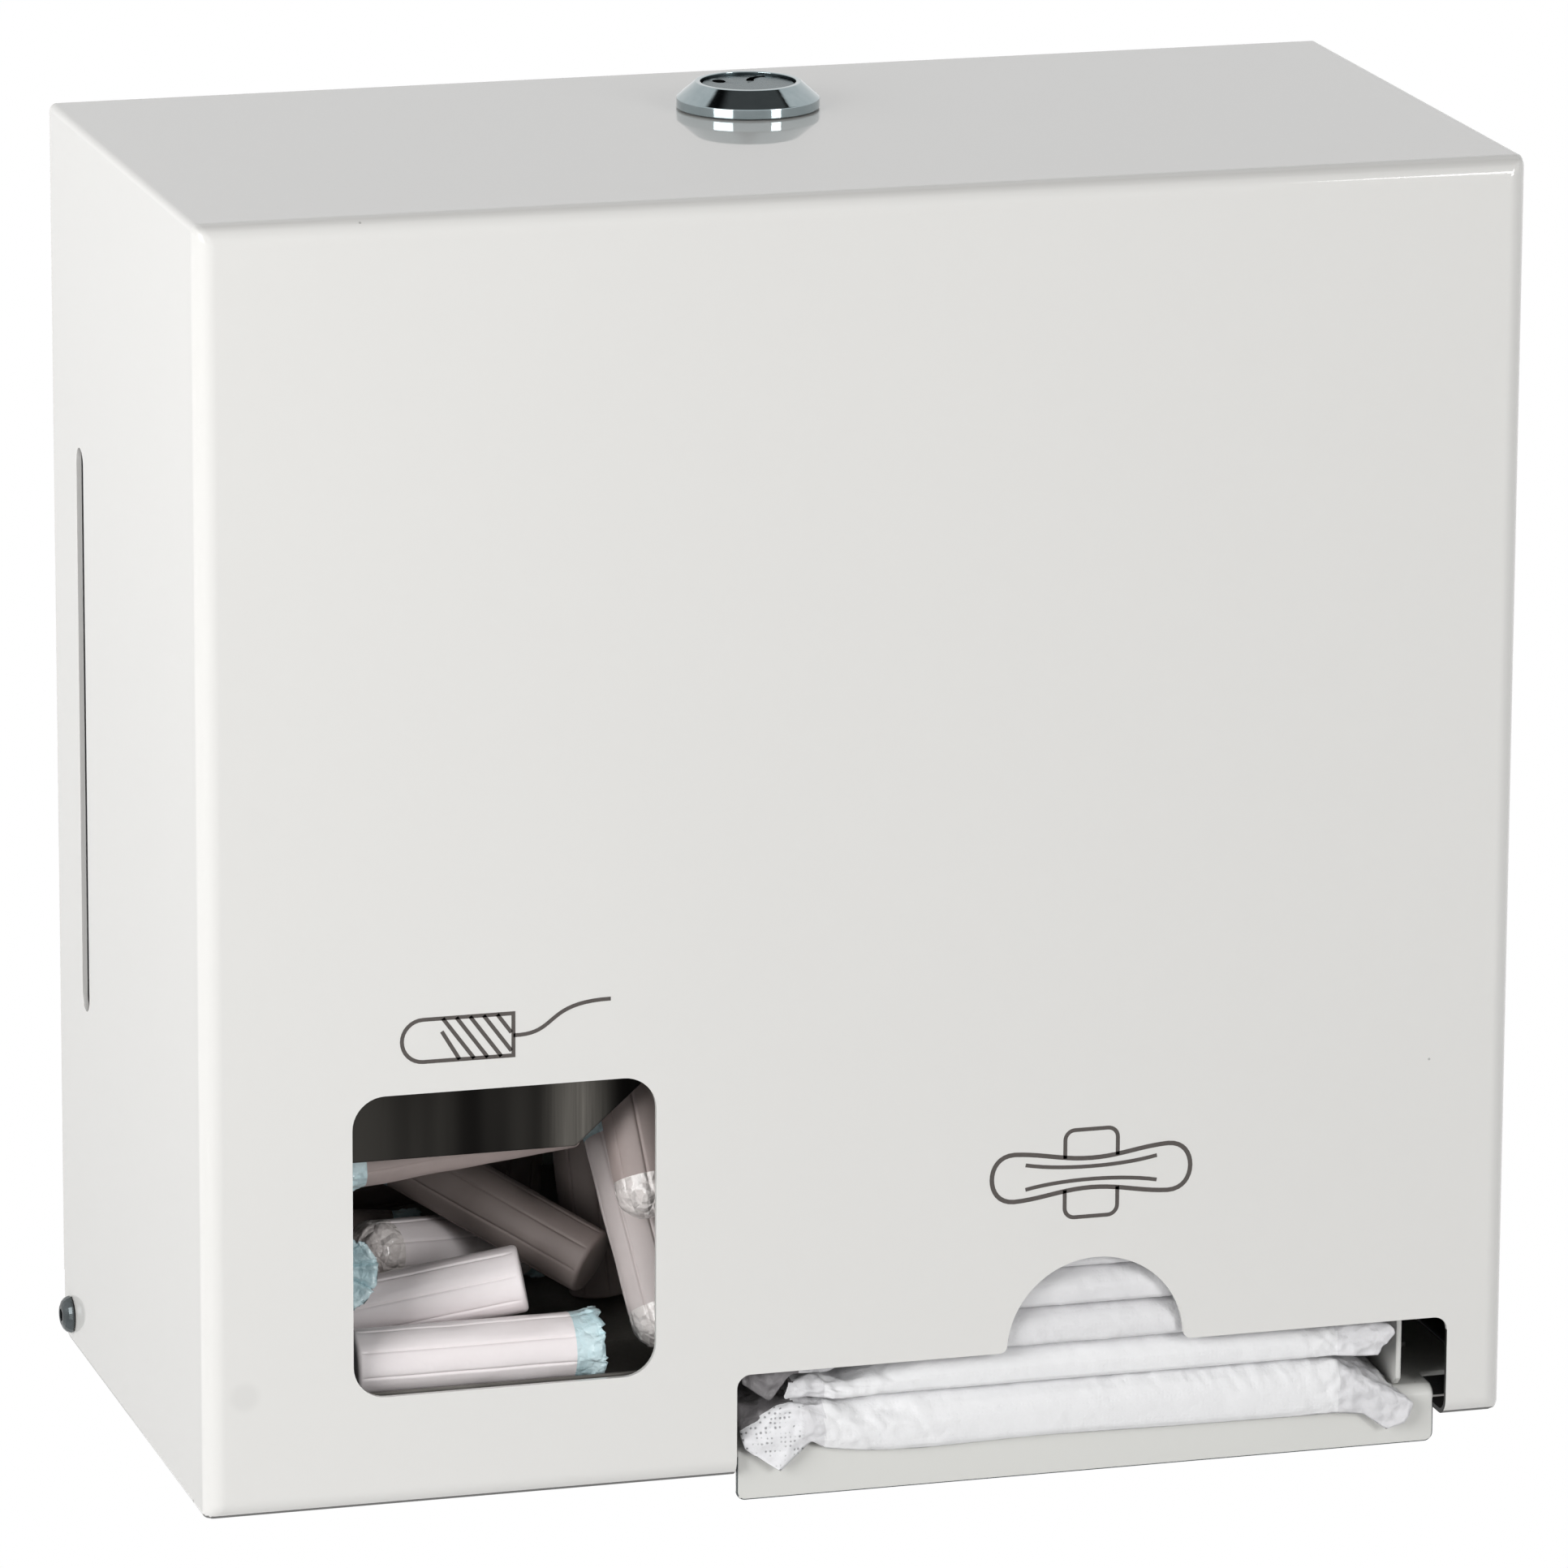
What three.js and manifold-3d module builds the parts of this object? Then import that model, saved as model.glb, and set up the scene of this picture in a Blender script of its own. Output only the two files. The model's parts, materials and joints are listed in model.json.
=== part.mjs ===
// A lockable steel wall dispenser for sanitary pads and tampons.
// A folded cover tilts forward on two screws at its lower rear corners. Behind it a back plate carries a pad tray,
// three upright walls that make a pad chute and a tampon bin, and the stock. A cam lock in the top holds the cover.
// Millimetres. X runs to the viewer's right, -Y towards the viewer and +Z up.
// The origin is the middle of the back plate's wall side. Heights in this file are counted from the cover's bottom
// edge, and the last group lowers everything by half the cover's height.

import * as THREE from 'three';
import { mergeGeometries, mergeVertices } from 'three/addons/utils/BufferGeometryUtils.js';
import Module from 'manifold-3d';

const wasm = await Module();
wasm.setup();

// Cover
const COVER = { width: 265, height: 255, depth: 127, sheet: 1, bend: 4, seam: 1.5, rearGap: 0.5 };
const COVER_FLANGE = { front: 12, side: 10, rearEnd: 19, relief: 1.2 };
const WINDOW = { centreX: -72.9, bottom: 22.8, size: 60.5, corner: 6.5 };
const PAD_SLOT = { left: -26.2, right: 120.5, top: 21.2, corner: 2.8, notchRadius: 18.3, notchFillet: 1.5 };
const SIGHT_SLOT = { fromWall: 24.5, bottom: 75, top: 190.4, width: 6 };
const HALF_WIDTH = COVER.width / 2;
const INNER_SIDE = HALF_WIDTH - COVER.sheet;

// Hinge at the lower rear corners
const PIVOT = { y: -7.5, z: 6.5, lobe: 6.5, coverHole: 3.5, screwRadius: 2 };
const MOVE_GAP = 0.3;

// Back plate and the sheets on it
const PLATE = { halfWidth: 129.8, bottom: 1, top: 252, sheet: 1.2, flange: 18 };
const WALL_HOLE = { radius: 2.75, x: 95, low: 38, high: 222 };
const STUD = { radius: 2, reach: 7 };
const TRAY = { top: 6, sheet: 1, rearFlangeTop: 20, shoulder: 115, lipFace: 124, lipBottom: -5.5, left: -25.4, right: 119 };
const WALL_SHEET = 1;
const WALLS = { binLeft: -127, chuteLeft: -28, chuteRight: 111.8, front: -123 };
const BIN_FLOOR = { frontTop: 17.5, rearTop: 30.5, lipTop: 22.4, sheet: 0.8 };
const BAFFLE = { y: -114.6, bottom: 66.8, top: 206, sheet: 0.8, chamferStartX: -55.6, chamferTop: 90.6 };

// Cam lock in the top
const LOCK = { y: -39.8, bezelRadius: 14.2, band: 1.9, bezelHeight: 5.4, rimRadius: 10.5, discRadius: 9.2, barrel: 9.3 };
const CAM = { reach: 34, drop: 21, sheet: 2 };
const CAM_SLOT = { front: -48.5, rear: -14, bottom: 231.5, top: 238.5 };

// Stock
const PAD = { count: 11, length: 134, depth: 110, thickness: 7.3, pitch: 7.6, middleX: 43, front: -125.4 };
const TAMPON = { radius: 7, length: 50 };

const paint = (hex, roughness = 0.42) => new THREE.MeshStandardMaterial({ color: hex, roughness, metalness: 0 });
const metal = (hex, roughness) => new THREE.MeshStandardMaterial({ color: hex, roughness, metalness: 1 });
const WHITE_PAINT = paint(0xe4e4e1);
const BRUSHED_STEEL = metal(0x8b8a87, 0.38);
const CHROME = metal(0xc4cacb, 0.12);
const ZINC = metal(0xa9abab, 0.4);
const DARK_STEEL = metal(0x4b4f50, 0.35);
const NYLON = paint(0xdcdad2, 0.6);
const WRAPPER = paint(0xf1f0f0, 0.85);
const COTTON = paint(0xf0eae8, 0.8);

// A closed manifold solid from a closed three.js geometry.
function solid(geometry) {
  const bare = geometry.clone();
  bare.deleteAttribute('normal');
  bare.deleteAttribute('uv');
  const merged = mergeVertices(bare, 1e-5);
  return new wasm.Manifold(new wasm.Mesh({
    numProp: 3,
    vertProperties: new Float32Array(merged.attributes.position.array),
    triVerts: new Uint32Array(merged.index.array),
  }));
}

function geometryOf(body) {
  const mesh = body.getMesh();
  const geometry = new THREE.BufferGeometry();
  geometry.setAttribute('position', new THREE.BufferAttribute(new Float32Array(mesh.vertProperties), 3));
  geometry.setIndex(new THREE.BufferAttribute(new Uint32Array(mesh.triVerts), 1));
  geometry.computeVertexNormals();
  return geometry;
}

const joined = (...bodies) => bodies.reduce((sum, body) => sum.add(body));
const cut = (body, ...tools) => tools.reduce((rest, tool) => rest.subtract(tool), body);

// Extrusions of a flat outline along each axis. An outline for X is drawn in (y, z), for Y in (x, z), for Z in (x, y).
function prism(shape, length, curveSegments) {
  return new THREE.ExtrudeGeometry(shape, { depth: length, bevelEnabled: false, curveSegments });
}

function alongX(shape, from, to, curveSegments = 6) {
  const turn = new THREE.Matrix4().makeBasis(
    new THREE.Vector3(0, 1, 0), new THREE.Vector3(0, 0, 1), new THREE.Vector3(1, 0, 0));
  return solid(prism(shape, to - from, curveSegments).applyMatrix4(turn).translate(from, 0, 0));
}

function alongY(shape, from, to, curveSegments = 6) {
  return solid(prism(shape, to - from, curveSegments).rotateX(Math.PI / 2).translate(0, to, 0));
}

function alongZ(shape, from, to, curveSegments = 6) {
  return solid(prism(shape, to - from, curveSegments).translate(0, 0, from));
}

function box(x0, x1, y0, y1, z0, z1) {
  const geometry = new THREE.BoxGeometry(x1 - x0, y1 - y0, z1 - z0);
  return solid(geometry.translate((x0 + x1) / 2, (y0 + y1) / 2, (z0 + z1) / 2));
}

// A rod along X, Y or Z that starts at a point and runs in the axis's positive direction.
function rod(axis, x, y, z, radius, length, sides = 16) {
  const geometry = new THREE.CylinderGeometry(radius, radius, length, sides);
  if (axis === 'x') geometry.rotateZ(-Math.PI / 2).translate(x + length / 2, y, z);
  if (axis === 'y') geometry.translate(x, y + length / 2, z);
  if (axis === 'z') geometry.rotateX(Math.PI / 2).translate(x, y, z + length / 2);
  return solid(geometry);
}

// A rectangle whose corners are rounded by radii in the order low-left, low-right, high-right, high-left.
function roundedRectangle(x0, x1, y0, y1, radii) {
  const [lowLeft, lowRight, highRight, highLeft] = radii;
  const shape = new THREE.Shape();
  shape.moveTo(x0 + lowLeft, y0);
  shape.lineTo(x1 - lowRight, y0);
  if (lowRight > 0) shape.absarc(x1 - lowRight, y0 + lowRight, lowRight, -Math.PI / 2, 0);
  shape.lineTo(x1, y1 - highRight);
  if (highRight > 0) shape.absarc(x1 - highRight, y1 - highRight, highRight, 0, Math.PI / 2);
  shape.lineTo(x0 + highLeft, y1);
  if (highLeft > 0) shape.absarc(x0 + highLeft, y1 - highLeft, highLeft, Math.PI / 2, Math.PI);
  shape.lineTo(x0, y0 + lowLeft);
  if (lowLeft > 0) shape.absarc(x0 + lowLeft, y0 + lowLeft, lowLeft, Math.PI, Math.PI * 1.5);
  return shape;
}

const polygon = (points) => new THREE.Shape(points.map(([x, y]) => new THREE.Vector2(x, y)));

// The edge-on outline of a bent sheet: its middle line with rounded bends, offset to both sides.
function bentSheet(points, sheet, bend = 1.5, steps = 4) {
  const corners = points.map(([x, y]) => new THREE.Vector2(x, y));
  const middle = [];
  corners.forEach((corner, i) => {
    const before = corners[i - 1];
    const after = corners[i + 1];
    if (!before || !after) {
      const direction = (after ? after.clone().sub(corner) : corner.clone().sub(before)).normalize();
      middle.push({ at: corner, direction });
      return;
    }
    const incoming = corner.clone().sub(before).normalize();
    const outgoing = after.clone().sub(corner).normalize();
    const turn = Math.atan2(incoming.cross(outgoing), incoming.dot(outgoing));
    const side = Math.sign(turn);
    const radius = bend + sheet / 2;
    const start = corner.clone().addScaledVector(incoming, -radius * Math.tan(Math.abs(turn) / 2));
    const centre = start.clone().add(new THREE.Vector2(-incoming.y, incoming.x).multiplyScalar(side * radius));
    for (let k = 0; k <= steps; k += 1) {
      const angle = (turn * k) / steps;
      const direction = incoming.clone().rotateAround(new THREE.Vector2(), angle);
      const normal = new THREE.Vector2(-direction.y, direction.x);
      middle.push({ at: centre.clone().addScaledVector(normal, -side * radius), direction });
    }
  });
  const offset = ({ at, direction }, distance) =>
    new THREE.Vector2(at.x - direction.y * distance, at.y + direction.x * distance);
  const left = middle.map((point) => offset(point, sheet / 2));
  const right = middle.map((point) => offset(point, -sheet / 2)).reverse();
  return new THREE.Shape([...left, ...right]);
}

// A turned piece about +Z from a closed outline of [radius, height] pairs.
function turned(outline, sides = 32) {
  const points = outline.map(([radius, height]) => new THREE.Vector2(radius, height));
  if (THREE.ShapeUtils.isClockWise(points)) points.reverse();
  if (outline[0][0] !== 0) points.push(points[0].clone());
  return solid(new THREE.LatheGeometry(points, sides).rotateX(Math.PI / 2));
}

function hexagon(acrossFlats) {
  const radius = acrossFlats / Math.sqrt(3);
  return polygon([0, 1, 2, 3, 4, 5].map((k) => [
    radius * Math.cos((k * Math.PI) / 3),
    radius * Math.sin((k * Math.PI) / 3),
  ]));
}

// The block that the cover's outer or inner faces enclose, inset by a distance on every closed side.
function coverBlock(inset, rear) {
  const bend = COVER.bend - inset;
  const seam = Math.max(COVER.seam - inset, 0.4);
  const half = HALF_WIDTH - inset;
  const front = -COVER.depth + inset;
  const top = COVER.height - inset;
  const side = roundedRectangle(front, rear, inset, top, [bend, 0, 0, bend]);
  const plan = roundedRectangle(-half, half, front, rear, [bend, bend, 0, 0]);
  const face = roundedRectangle(-half, half, inset, top, [seam, seam, seam, seam]);
  return alongX(side, -half, half, 5)
    .intersect(alongZ(plan, inset - 1, top + 1, 4))
    .intersect(alongY(face, front - 1, rear + 1, 2));
}

function padSlotOutline() {
  const { left, right, top, corner, notchRadius, notchFillet } = PAD_SLOT;
  const middle = (left + right) / 2;
  const below = -8;
  const reach = notchRadius + notchFillet;
  const rise = notchFillet;
  const lean = Math.asin(rise / reach);
  const shape = new THREE.Shape();
  shape.moveTo(left, below);
  shape.lineTo(right, below);
  shape.lineTo(right, top - corner);
  shape.absarc(right - corner, top - corner, corner, 0, Math.PI / 2);
  const footX = reach * Math.cos(lean);
  shape.lineTo(middle + footX, top);
  shape.absarc(middle + footX, top + notchFillet, notchFillet, Math.PI * 1.5, Math.PI + lean, true);
  shape.absarc(middle, top, notchRadius, lean, Math.PI - lean);
  shape.absarc(middle - footX, top + notchFillet, notchFillet, -lean, -Math.PI / 2, true);
  shape.lineTo(left + corner, top);
  shape.absarc(left + corner, top - corner, corner, Math.PI / 2, Math.PI);
  return shape;
}

function sightSlotOutline(extra) {
  const half = SIGHT_SLOT.width / 2 + extra;
  const middle = -SIGHT_SLOT.fromWall;
  return roundedRectangle(middle - half, middle + half, SIGHT_SLOT.bottom - extra, SIGHT_SLOT.top + extra,
    [half - 0.01, half - 0.01, half - 0.01, half - 0.01]);
}

// The flat ear of one side, round the pivot, which keeps the lower rear corner clear of the wall as the cover tilts.
function pivotEar(side) {
  const inner = side * INNER_SIDE;
  const outer = side * HALF_WIDTH;
  const from = Math.min(inner, outer);
  const to = Math.max(inner, outer);
  const ear = new THREE.Shape();
  ear.moveTo(-COVER_FLANGE.rearEnd + 2, PIVOT.z - PIVOT.lobe);
  ear.lineTo(PIVOT.y, PIVOT.z - PIVOT.lobe);
  ear.absarc(PIVOT.y, PIVOT.z, PIVOT.lobe, -Math.PI / 2, 0);
  ear.lineTo(PIVOT.y + PIVOT.lobe, 14);
  ear.lineTo(-COVER_FLANGE.rearEnd, 14);
  ear.lineTo(-COVER_FLANGE.rearEnd, 0.6);
  return alongX(ear, from, to, 8);
}

function makeCover() {
  const { sheet, depth } = COVER;
  const rear = -COVER.rearGap;
  const frontFlange = -depth + COVER_FLANGE.front;
  const sideFlange = INNER_SIDE - COVER_FLANGE.side;
  const openBottom = joined(
    box(-sideFlange, sideFlange, frontFlange, 10, -10, 6),
    box(-HALF_WIDTH - 1, HALF_WIDTH + 1, -COVER_FLANGE.rearEnd, 10, -10, 12));
  const shell = cut(coverBlock(0, rear), coverBlock(sheet, 10), openBottom);
  const reliefs = [-1, 1].map((side) => {
    const inner = side * (sideFlange - 1);
    const outer = side * (HALF_WIDTH + 1);
    return box(Math.min(inner, outer), Math.max(inner, outer),
      frontFlange - COVER_FLANGE.relief, frontFlange, -1, 1.5);
  });
  const windowLeft = WINDOW.centreX - WINDOW.size / 2;
  const windowRight = WINDOW.centreX + WINDOW.size / 2;
  const windowOutline = roundedRectangle(windowLeft, windowRight, WINDOW.bottom, WINDOW.bottom + WINDOW.size,
    [WINDOW.corner, WINDOW.corner, WINDOW.corner, WINDOW.corner]);
  return cut(
    joined(shell, pivotEar(-1), pivotEar(1)),
    ...reliefs,
    alongY(windowOutline, -depth - 2, -depth + 4, 6),
    alongY(padSlotOutline(), -depth - 2, frontFlange + 4, 12),
    alongX(sightSlotOutline(0), -HALF_WIDTH - 2, HALF_WIDTH + 2, 6),
    rod('z', 0, LOCK.y, COVER.height - 4, LOCK.barrel + 0.4, 8, 32),
    rod('x', -HALF_WIDTH - 2, PIVOT.y, PIVOT.z, PIVOT.coverHole, COVER.width + 4, 24));
}

// Where nuts hold the inner sheets: pairs of x and height on the back plate.
const WALL_STUDS = [[-118, 200], [-37, 200], [120.5, 200]];
const TRAY_STUDS = [[-60, 13], [60, 13]];
const FLOOR_STUDS = [[-77, 41]];
const STUD_PLACES = [...WALL_STUDS, ...TRAY_STUDS, ...FLOOR_STUDS];

function makeBackPlate() {
  const { halfWidth, bottom, top, sheet, flange } = PLATE;
  const side = halfWidth - sheet / 2;
  const pan = alongZ(bentSheet([[-side, -flange], [-side, -sheet / 2], [side, -sheet / 2], [side, -flange]],
    sheet, 1), bottom, top - 4);
  const topFlange = alongX(bentSheet([[-flange, top - sheet / 2], [-sheet / 2, top - sheet / 2],
    [-sheet / 2, top - 12]], sheet, 1), -halfWidth + 4, halfWidth - 4);
  const studs = STUD_PLACES.map(([x, z]) => rod('y', x, -sheet - STUD.reach, z, STUD.radius, STUD.reach + 0.4, 12));
  const wallHoles = [-1, 1].flatMap((across) => [WALL_HOLE.low, WALL_HOLE.high].map((z) =>
    rod('y', across * WALL_HOLE.x, -5, z, WALL_HOLE.radius, 10, 16)));
  const pivotHole = rod('x', -halfWidth - 2, PIVOT.y, PIVOT.z, PIVOT.screwRadius + MOVE_GAP, 2 * halfWidth + 4);
  return cut(joined(pan, topFlange, ...studs), ...wallHoles, pivotHole);
}

const SHEET_REAR = -PLATE.sheet - MOVE_GAP;
const studHoles = (places) => places.map(([x, z]) => rod('y', x, -20, z, STUD.radius + MOVE_GAP, 19, 12));

// The shelf under the stock. Its front tongue passes through the cover's slot and turns down as a lip.
function makePadTray() {
  const { top, sheet, rearFlangeTop, shoulder, lipFace, lipBottom, left, right } = TRAY;
  const middle = top - sheet / 2;
  const rear = SHEET_REAR - sheet / 2;
  const profile = bentSheet([[rear, rearFlangeTop], [rear, middle], [-lipFace + sheet / 2, middle],
    [-lipFace + sheet / 2, lipBottom]], sheet, 1.5, 5);
  const plan = joined(
    box(-130.6, 130.6, -shoulder, -COVER_FLANGE.rearEnd, -50, 50),
    box(-117, 117, -shoulder, 10, -50, 50),
    alongY(roundedRectangle(left, right, lipBottom, 50, [1.8, 1.8, 0, 0]), -lipFace - 5, -shoulder + 1, 4));
  return cut(alongX(profile, -140, 140).intersect(plan), ...studHoles(TRAY_STUDS),
    ...FOOT_RIVETS.map(([x, y]) => rod('z', x, y, -1, 1.9, 12, 12)));
}

// The upright walls. Each has a rear flange on two studs and a foot riveted to the tray.
const FOOT_RIVETS = [[-121.5, -92], [-121.5, -30], [-33.5, -92], [-33.5, -30], [117.3, -92], [117.3, -30]];

function makeWall(x, outward, rivetRow) {
  const half = WALL_SHEET / 2;
  const foot = TRAY.top + MOVE_GAP;
  const panel = alongX(polygon([
    [WALLS.front, foot + 1.5], [WALLS.front + 1.5, foot], [-16, foot], [-16, 24], [SHEET_REAR - 1.2, 24],
    [SHEET_REAR - 1.2, 245], [-55, 246.5], [-88, 236], [WALLS.front, 219],
  ]), x - half, x + half);
  const rearFlange = alongZ(bentSheet([[x, -6], [x, SHEET_REAR - half], [x + outward * 15, SHEET_REAR - half]],
    WALL_SHEET, 1), 46, 240);
  const footFlange = alongY(bentSheet([[x, foot + 6], [x, foot + half], [x + outward * 10, foot + half]],
    WALL_SHEET, 1), -99, -23);
  const sharpRearStrip = box(x - half - 0.1, x + half + 0.1, -4, 0, 46, 240);
  const sharpFootStrip = box(x - half - 0.1, x + half + 0.1, -99, -23, 0, foot + 2);
  return cut(
    joined(cut(panel, sharpRearStrip, sharpFootStrip), rearFlange, footFlange),
    ...studHoles(WALL_STUDS),
    ...FOOT_RIVETS.slice(rivetRow, rivetRow + 2).map(([rx, ry]) => rod('z', rx, ry, 2, 1.9, 8, 12)));
}

// The bin floor slopes to the front and hooks into the walls with a tab on each side.
const floorTop = (y) => THREE.MathUtils.mapLinear(y, WALLS.front, 0, BIN_FLOOR.frontTop, BIN_FLOOR.rearTop);
const FLOOR_TAB = { front: -96, rear: -82 };

function floorTabs(extra) {
  const z0 = floorTop(FLOOR_TAB.front) - BIN_FLOOR.sheet - extra;
  const z1 = floorTop(FLOOR_TAB.rear) + extra;
  const tabs = polygon([
    [FLOOR_TAB.front - extra, z0], [FLOOR_TAB.rear + extra, z0 + 1.4],
    [FLOOR_TAB.rear + extra, z1], [FLOOR_TAB.front - extra, z1 - 1.4],
  ]);
  return alongX(tabs, WALLS.binLeft - 0.5, WALLS.chuteLeft + 0.5);
}

function makeBinFloor() {
  const { sheet, lipTop } = BIN_FLOOR;
  const rear = SHEET_REAR - sheet / 2;
  const profile = bentSheet([[rear, 48], [rear, floorTop(rear) - sheet / 2],
    [WALLS.front + 0.5, floorTop(WALLS.front) - sheet / 2], [WALLS.front + 0.5, lipTop]], sheet, 1);
  const left = WALLS.binLeft + WALL_SHEET / 2 + MOVE_GAP;
  const right = WALLS.chuteLeft - WALL_SHEET / 2 - MOVE_GAP;
  const slab = alongX(profile, left, right);
  const corner = [
    box(left - 1, left + 17, -6, 0, 0, 60),
    box(right - 17, right + 1, -6, 0, 0, 60),
  ];
  return cut(joined(cut(slab, ...corner), floorTabs(0)), ...studHoles(FLOOR_STUDS));
}

// Rivets through the baffle's two side flanges: pairs of y and height.
const BAFFLE_RIVETS = [[-108, 120], [-108, 190]];

function makeBaffle() {
  const { y, bottom, top, sheet, chamferStartX, chamferTop } = BAFFLE;
  const left = WALLS.binLeft + WALL_SHEET / 2 + MOVE_GAP + sheet / 2;
  const right = WALLS.chuteLeft - WALL_SHEET / 2 - MOVE_GAP - sheet / 2;
  const pan = alongZ(bentSheet([[left, y + 12.6], [left, y], [right, y], [right, y + 12.6]], sheet, 1), bottom, top);
  const chamfer = alongY(polygon([[chamferStartX, bottom], [right + 5, bottom - 1], [right + 5, chamferTop + 4]]),
    -130, -90);
  const holes = BAFFLE_RIVETS.map(([ry, rz]) => rod('x', -140, ry, rz, 1.9, 130, 12));
  return cut(pan, chamfer, ...holes);
}

// A set rivet along +Z: domed head, shank and formed tail, on sheets that lie between two heights.
function rivet(low, high) {
  return turned([[0, low - 1.4], [1.6, low - 1.3], [2.4, low - 0.8], [2.4, low], [1.6, low], [1.6, high],
    [3, high], [2.6, high + 0.6], [1.5, high + 1], [0, high + 1.1]], 10);
}

function makeFootRivets() {
  const low = TRAY.top - TRAY.sheet - 0.3;
  const high = TRAY.top + MOVE_GAP + WALL_SHEET + 0.3;
  return FOOT_RIVETS.map(([x, y]) => rivet(low, high).translate([x, y, 0]));
}

function makeBaffleRivets() {
  const grip = WALL_SHEET + BAFFLE.sheet + MOVE_GAP + 0.6;
  const reach = -grip / 2;
  const place = (x, turn) => BAFFLE_RIVETS.map(([y, z]) =>
    rivet(reach, -reach).rotate([0, turn, 0]).translate([x, y, z]));
  const offset = (MOVE_GAP + BAFFLE.sheet) / 2;
  return [...place(WALLS.binLeft + offset, 90), ...place(WALLS.chuteLeft - offset, -90)];
}

function makeStudNuts() {
  const nut = cut(alongY(hexagon(7), -3, 0), rod('y', 0, -4, 0, STUD.radius + MOVE_GAP, 5, 12));
  const flangeFace = SHEET_REAR - WALL_SHEET - MOVE_GAP;
  return STUD_PLACES.map(([x, z]) => nut.translate([x, flangeFace, z]));
}

// Hinge hardware, drawn for the right side and mirrored for the left.
function bothSides(body) {
  return [body, body.mirror([1, 0, 0])];
}

function makePivotScrews() {
  const headFoot = HALF_WIDTH + MOVE_GAP;
  const head = turned([[0, 0], [3.8, 0], [3.8, 0.35], [3.5, 1], [2.9, 1.6], [2, 2], [0, 2]], 18);
  const socket = alongZ(hexagon(2.5), 0.7, 3);
  const shank = rod('z', 0, 0, -12.2, PIVOT.screwRadius, 12.4, 16);
  const screw = cut(joined(head, shank), socket);
  return bothSides(screw.rotate([0, 90, 0]).translate([headFoot, PIVOT.y, PIVOT.z]));
}

function makePivotBushings() {
  const flangeInner = PLATE.halfWidth + MOVE_GAP;
  const flangeOuter = INNER_SIDE - MOVE_GAP;
  const bore = PIVOT.screwRadius + MOVE_GAP;
  const sleeve = PIVOT.coverHole - MOVE_GAP;
  const bushing = turned([[bore, flangeInner], [5.5, flangeInner], [5.5, flangeOuter], [sleeve, flangeOuter],
    [sleeve, HALF_WIDTH], [bore, HALF_WIDTH]], 16);
  return bothSides(bushing.rotate([0, 90, 0]).translate([0, PIVOT.y, PIVOT.z]));
}

function makePivotNuts() {
  const face = PLATE.halfWidth - PLATE.sheet - MOVE_GAP;
  const body = alongZ(hexagon(7), face - 3.2, face);
  const collar = rod('z', 0, 0, face - 4.6, 3.2, 1.6, 16);
  const bore = rod('z', 0, 0, face - 6, PIVOT.screwRadius + MOVE_GAP, 8, 16);
  return bothSides(cut(joined(body, collar), bore).rotate([0, 90, 0]).translate([0, PIVOT.y, PIVOT.z]));
}

// The lock, drawn about its own axis with height 0 at the cover's top face.
const atLock = (body) => body.translate([0, LOCK.y, COVER.height]);

function makeLockBody() {
  const { bezelRadius, band, bezelHeight, rimRadius, discRadius, barrel } = LOCK;
  const base = 0.3;
  const bore = discRadius - 0.9;
  const ledge = bezelHeight - 2;
  const body = turned([[discRadius + 0.3, bezelHeight], [rimRadius, bezelHeight], [bezelRadius, band + base],
    [bezelRadius, base], [barrel, base], [barrel, -18], [bore, -18], [bore, ledge], [discRadius + 0.3, ledge]], 32);
  return atLock(body);
}

function makeLockWasher() {
  const { barrel } = LOCK;
  return atLock(turned([[barrel + 0.4, -2.1], [12.4, -2.1], [12.4, -1.3], [barrel + 0.4, -1.3]], 24));
}

function makeLockNut() {
  const body = cut(alongZ(hexagon(24), -6.6, -2.4), rod('z', 0, 0, -8, LOCK.barrel + 0.3, 8, 32));
  return atLock(body);
}

function makeLockPlug() {
  const { discRadius, bezelHeight } = LOCK;
  const core = discRadius - 1.2;
  const face = bezelHeight - 0.6;
  const under = bezelHeight - 1.7;
  const turnedPart = turned([[0, -18.6], [core, -18.6], [core, under], [discRadius, under], [discRadius, face],
    [0, face]], 28);
  const shank = box(-3.5, 3.5, -3.5, 3.5, -CAM.drop - 0.4, -18);
  const screwHole = rod('z', 0, 0, -CAM.drop - 2, 2.7, 11, 16);
  const keyPins = [[-0.5, 0.69, 1.25], [0.35, 0.69, 1.7]].map(([across, back, radius]) =>
    rod('z', across * discRadius, back * discRadius, face - 1, radius, 3, 12));
  return atLock(cut(joined(turnedPart, shank), screwHole, ...keyPins));
}

function makeLockCam() {
  const { reach, drop, sheet } = CAM;
  const hub = 8.5;
  const tip = 5.5;
  const outline = new THREE.Shape();
  outline.moveTo(hub, 0);
  outline.lineTo(tip, reach - 3);
  outline.absarc(tip - 3, reach - 3, 3, 0, Math.PI / 2);
  outline.lineTo(-tip + 3, reach);
  outline.absarc(-tip + 3, reach - 3, 3, Math.PI / 2, Math.PI);
  outline.lineTo(-hub, 0);
  outline.absarc(0, 0, hub, Math.PI, Math.PI * 2);
  const blade = alongZ(outline, -drop, -drop + sheet, 8);
  return atLock(cut(blade, box(-3.8, 3.8, -3.8, 3.8, -drop - 1, -drop + sheet + 1)));
}

function makeLockCamScrew() {
  const top = -CAM.drop - 0.7;
  const screw = turned([[0, top - 3.2], [2.6, top - 3.2], [4.2, top - 2.2], [4.4, top - 0.9], [6.2, top - 0.9],
    [6.2, top], [2.4, top], [2.4, top + 8.5], [0, top + 8.5]], 20);
  const slot = box(-0.6, 0.6, -8, 8, top - 5, top - 2.2);
  return atLock(cut(screw, slot));
}

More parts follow.
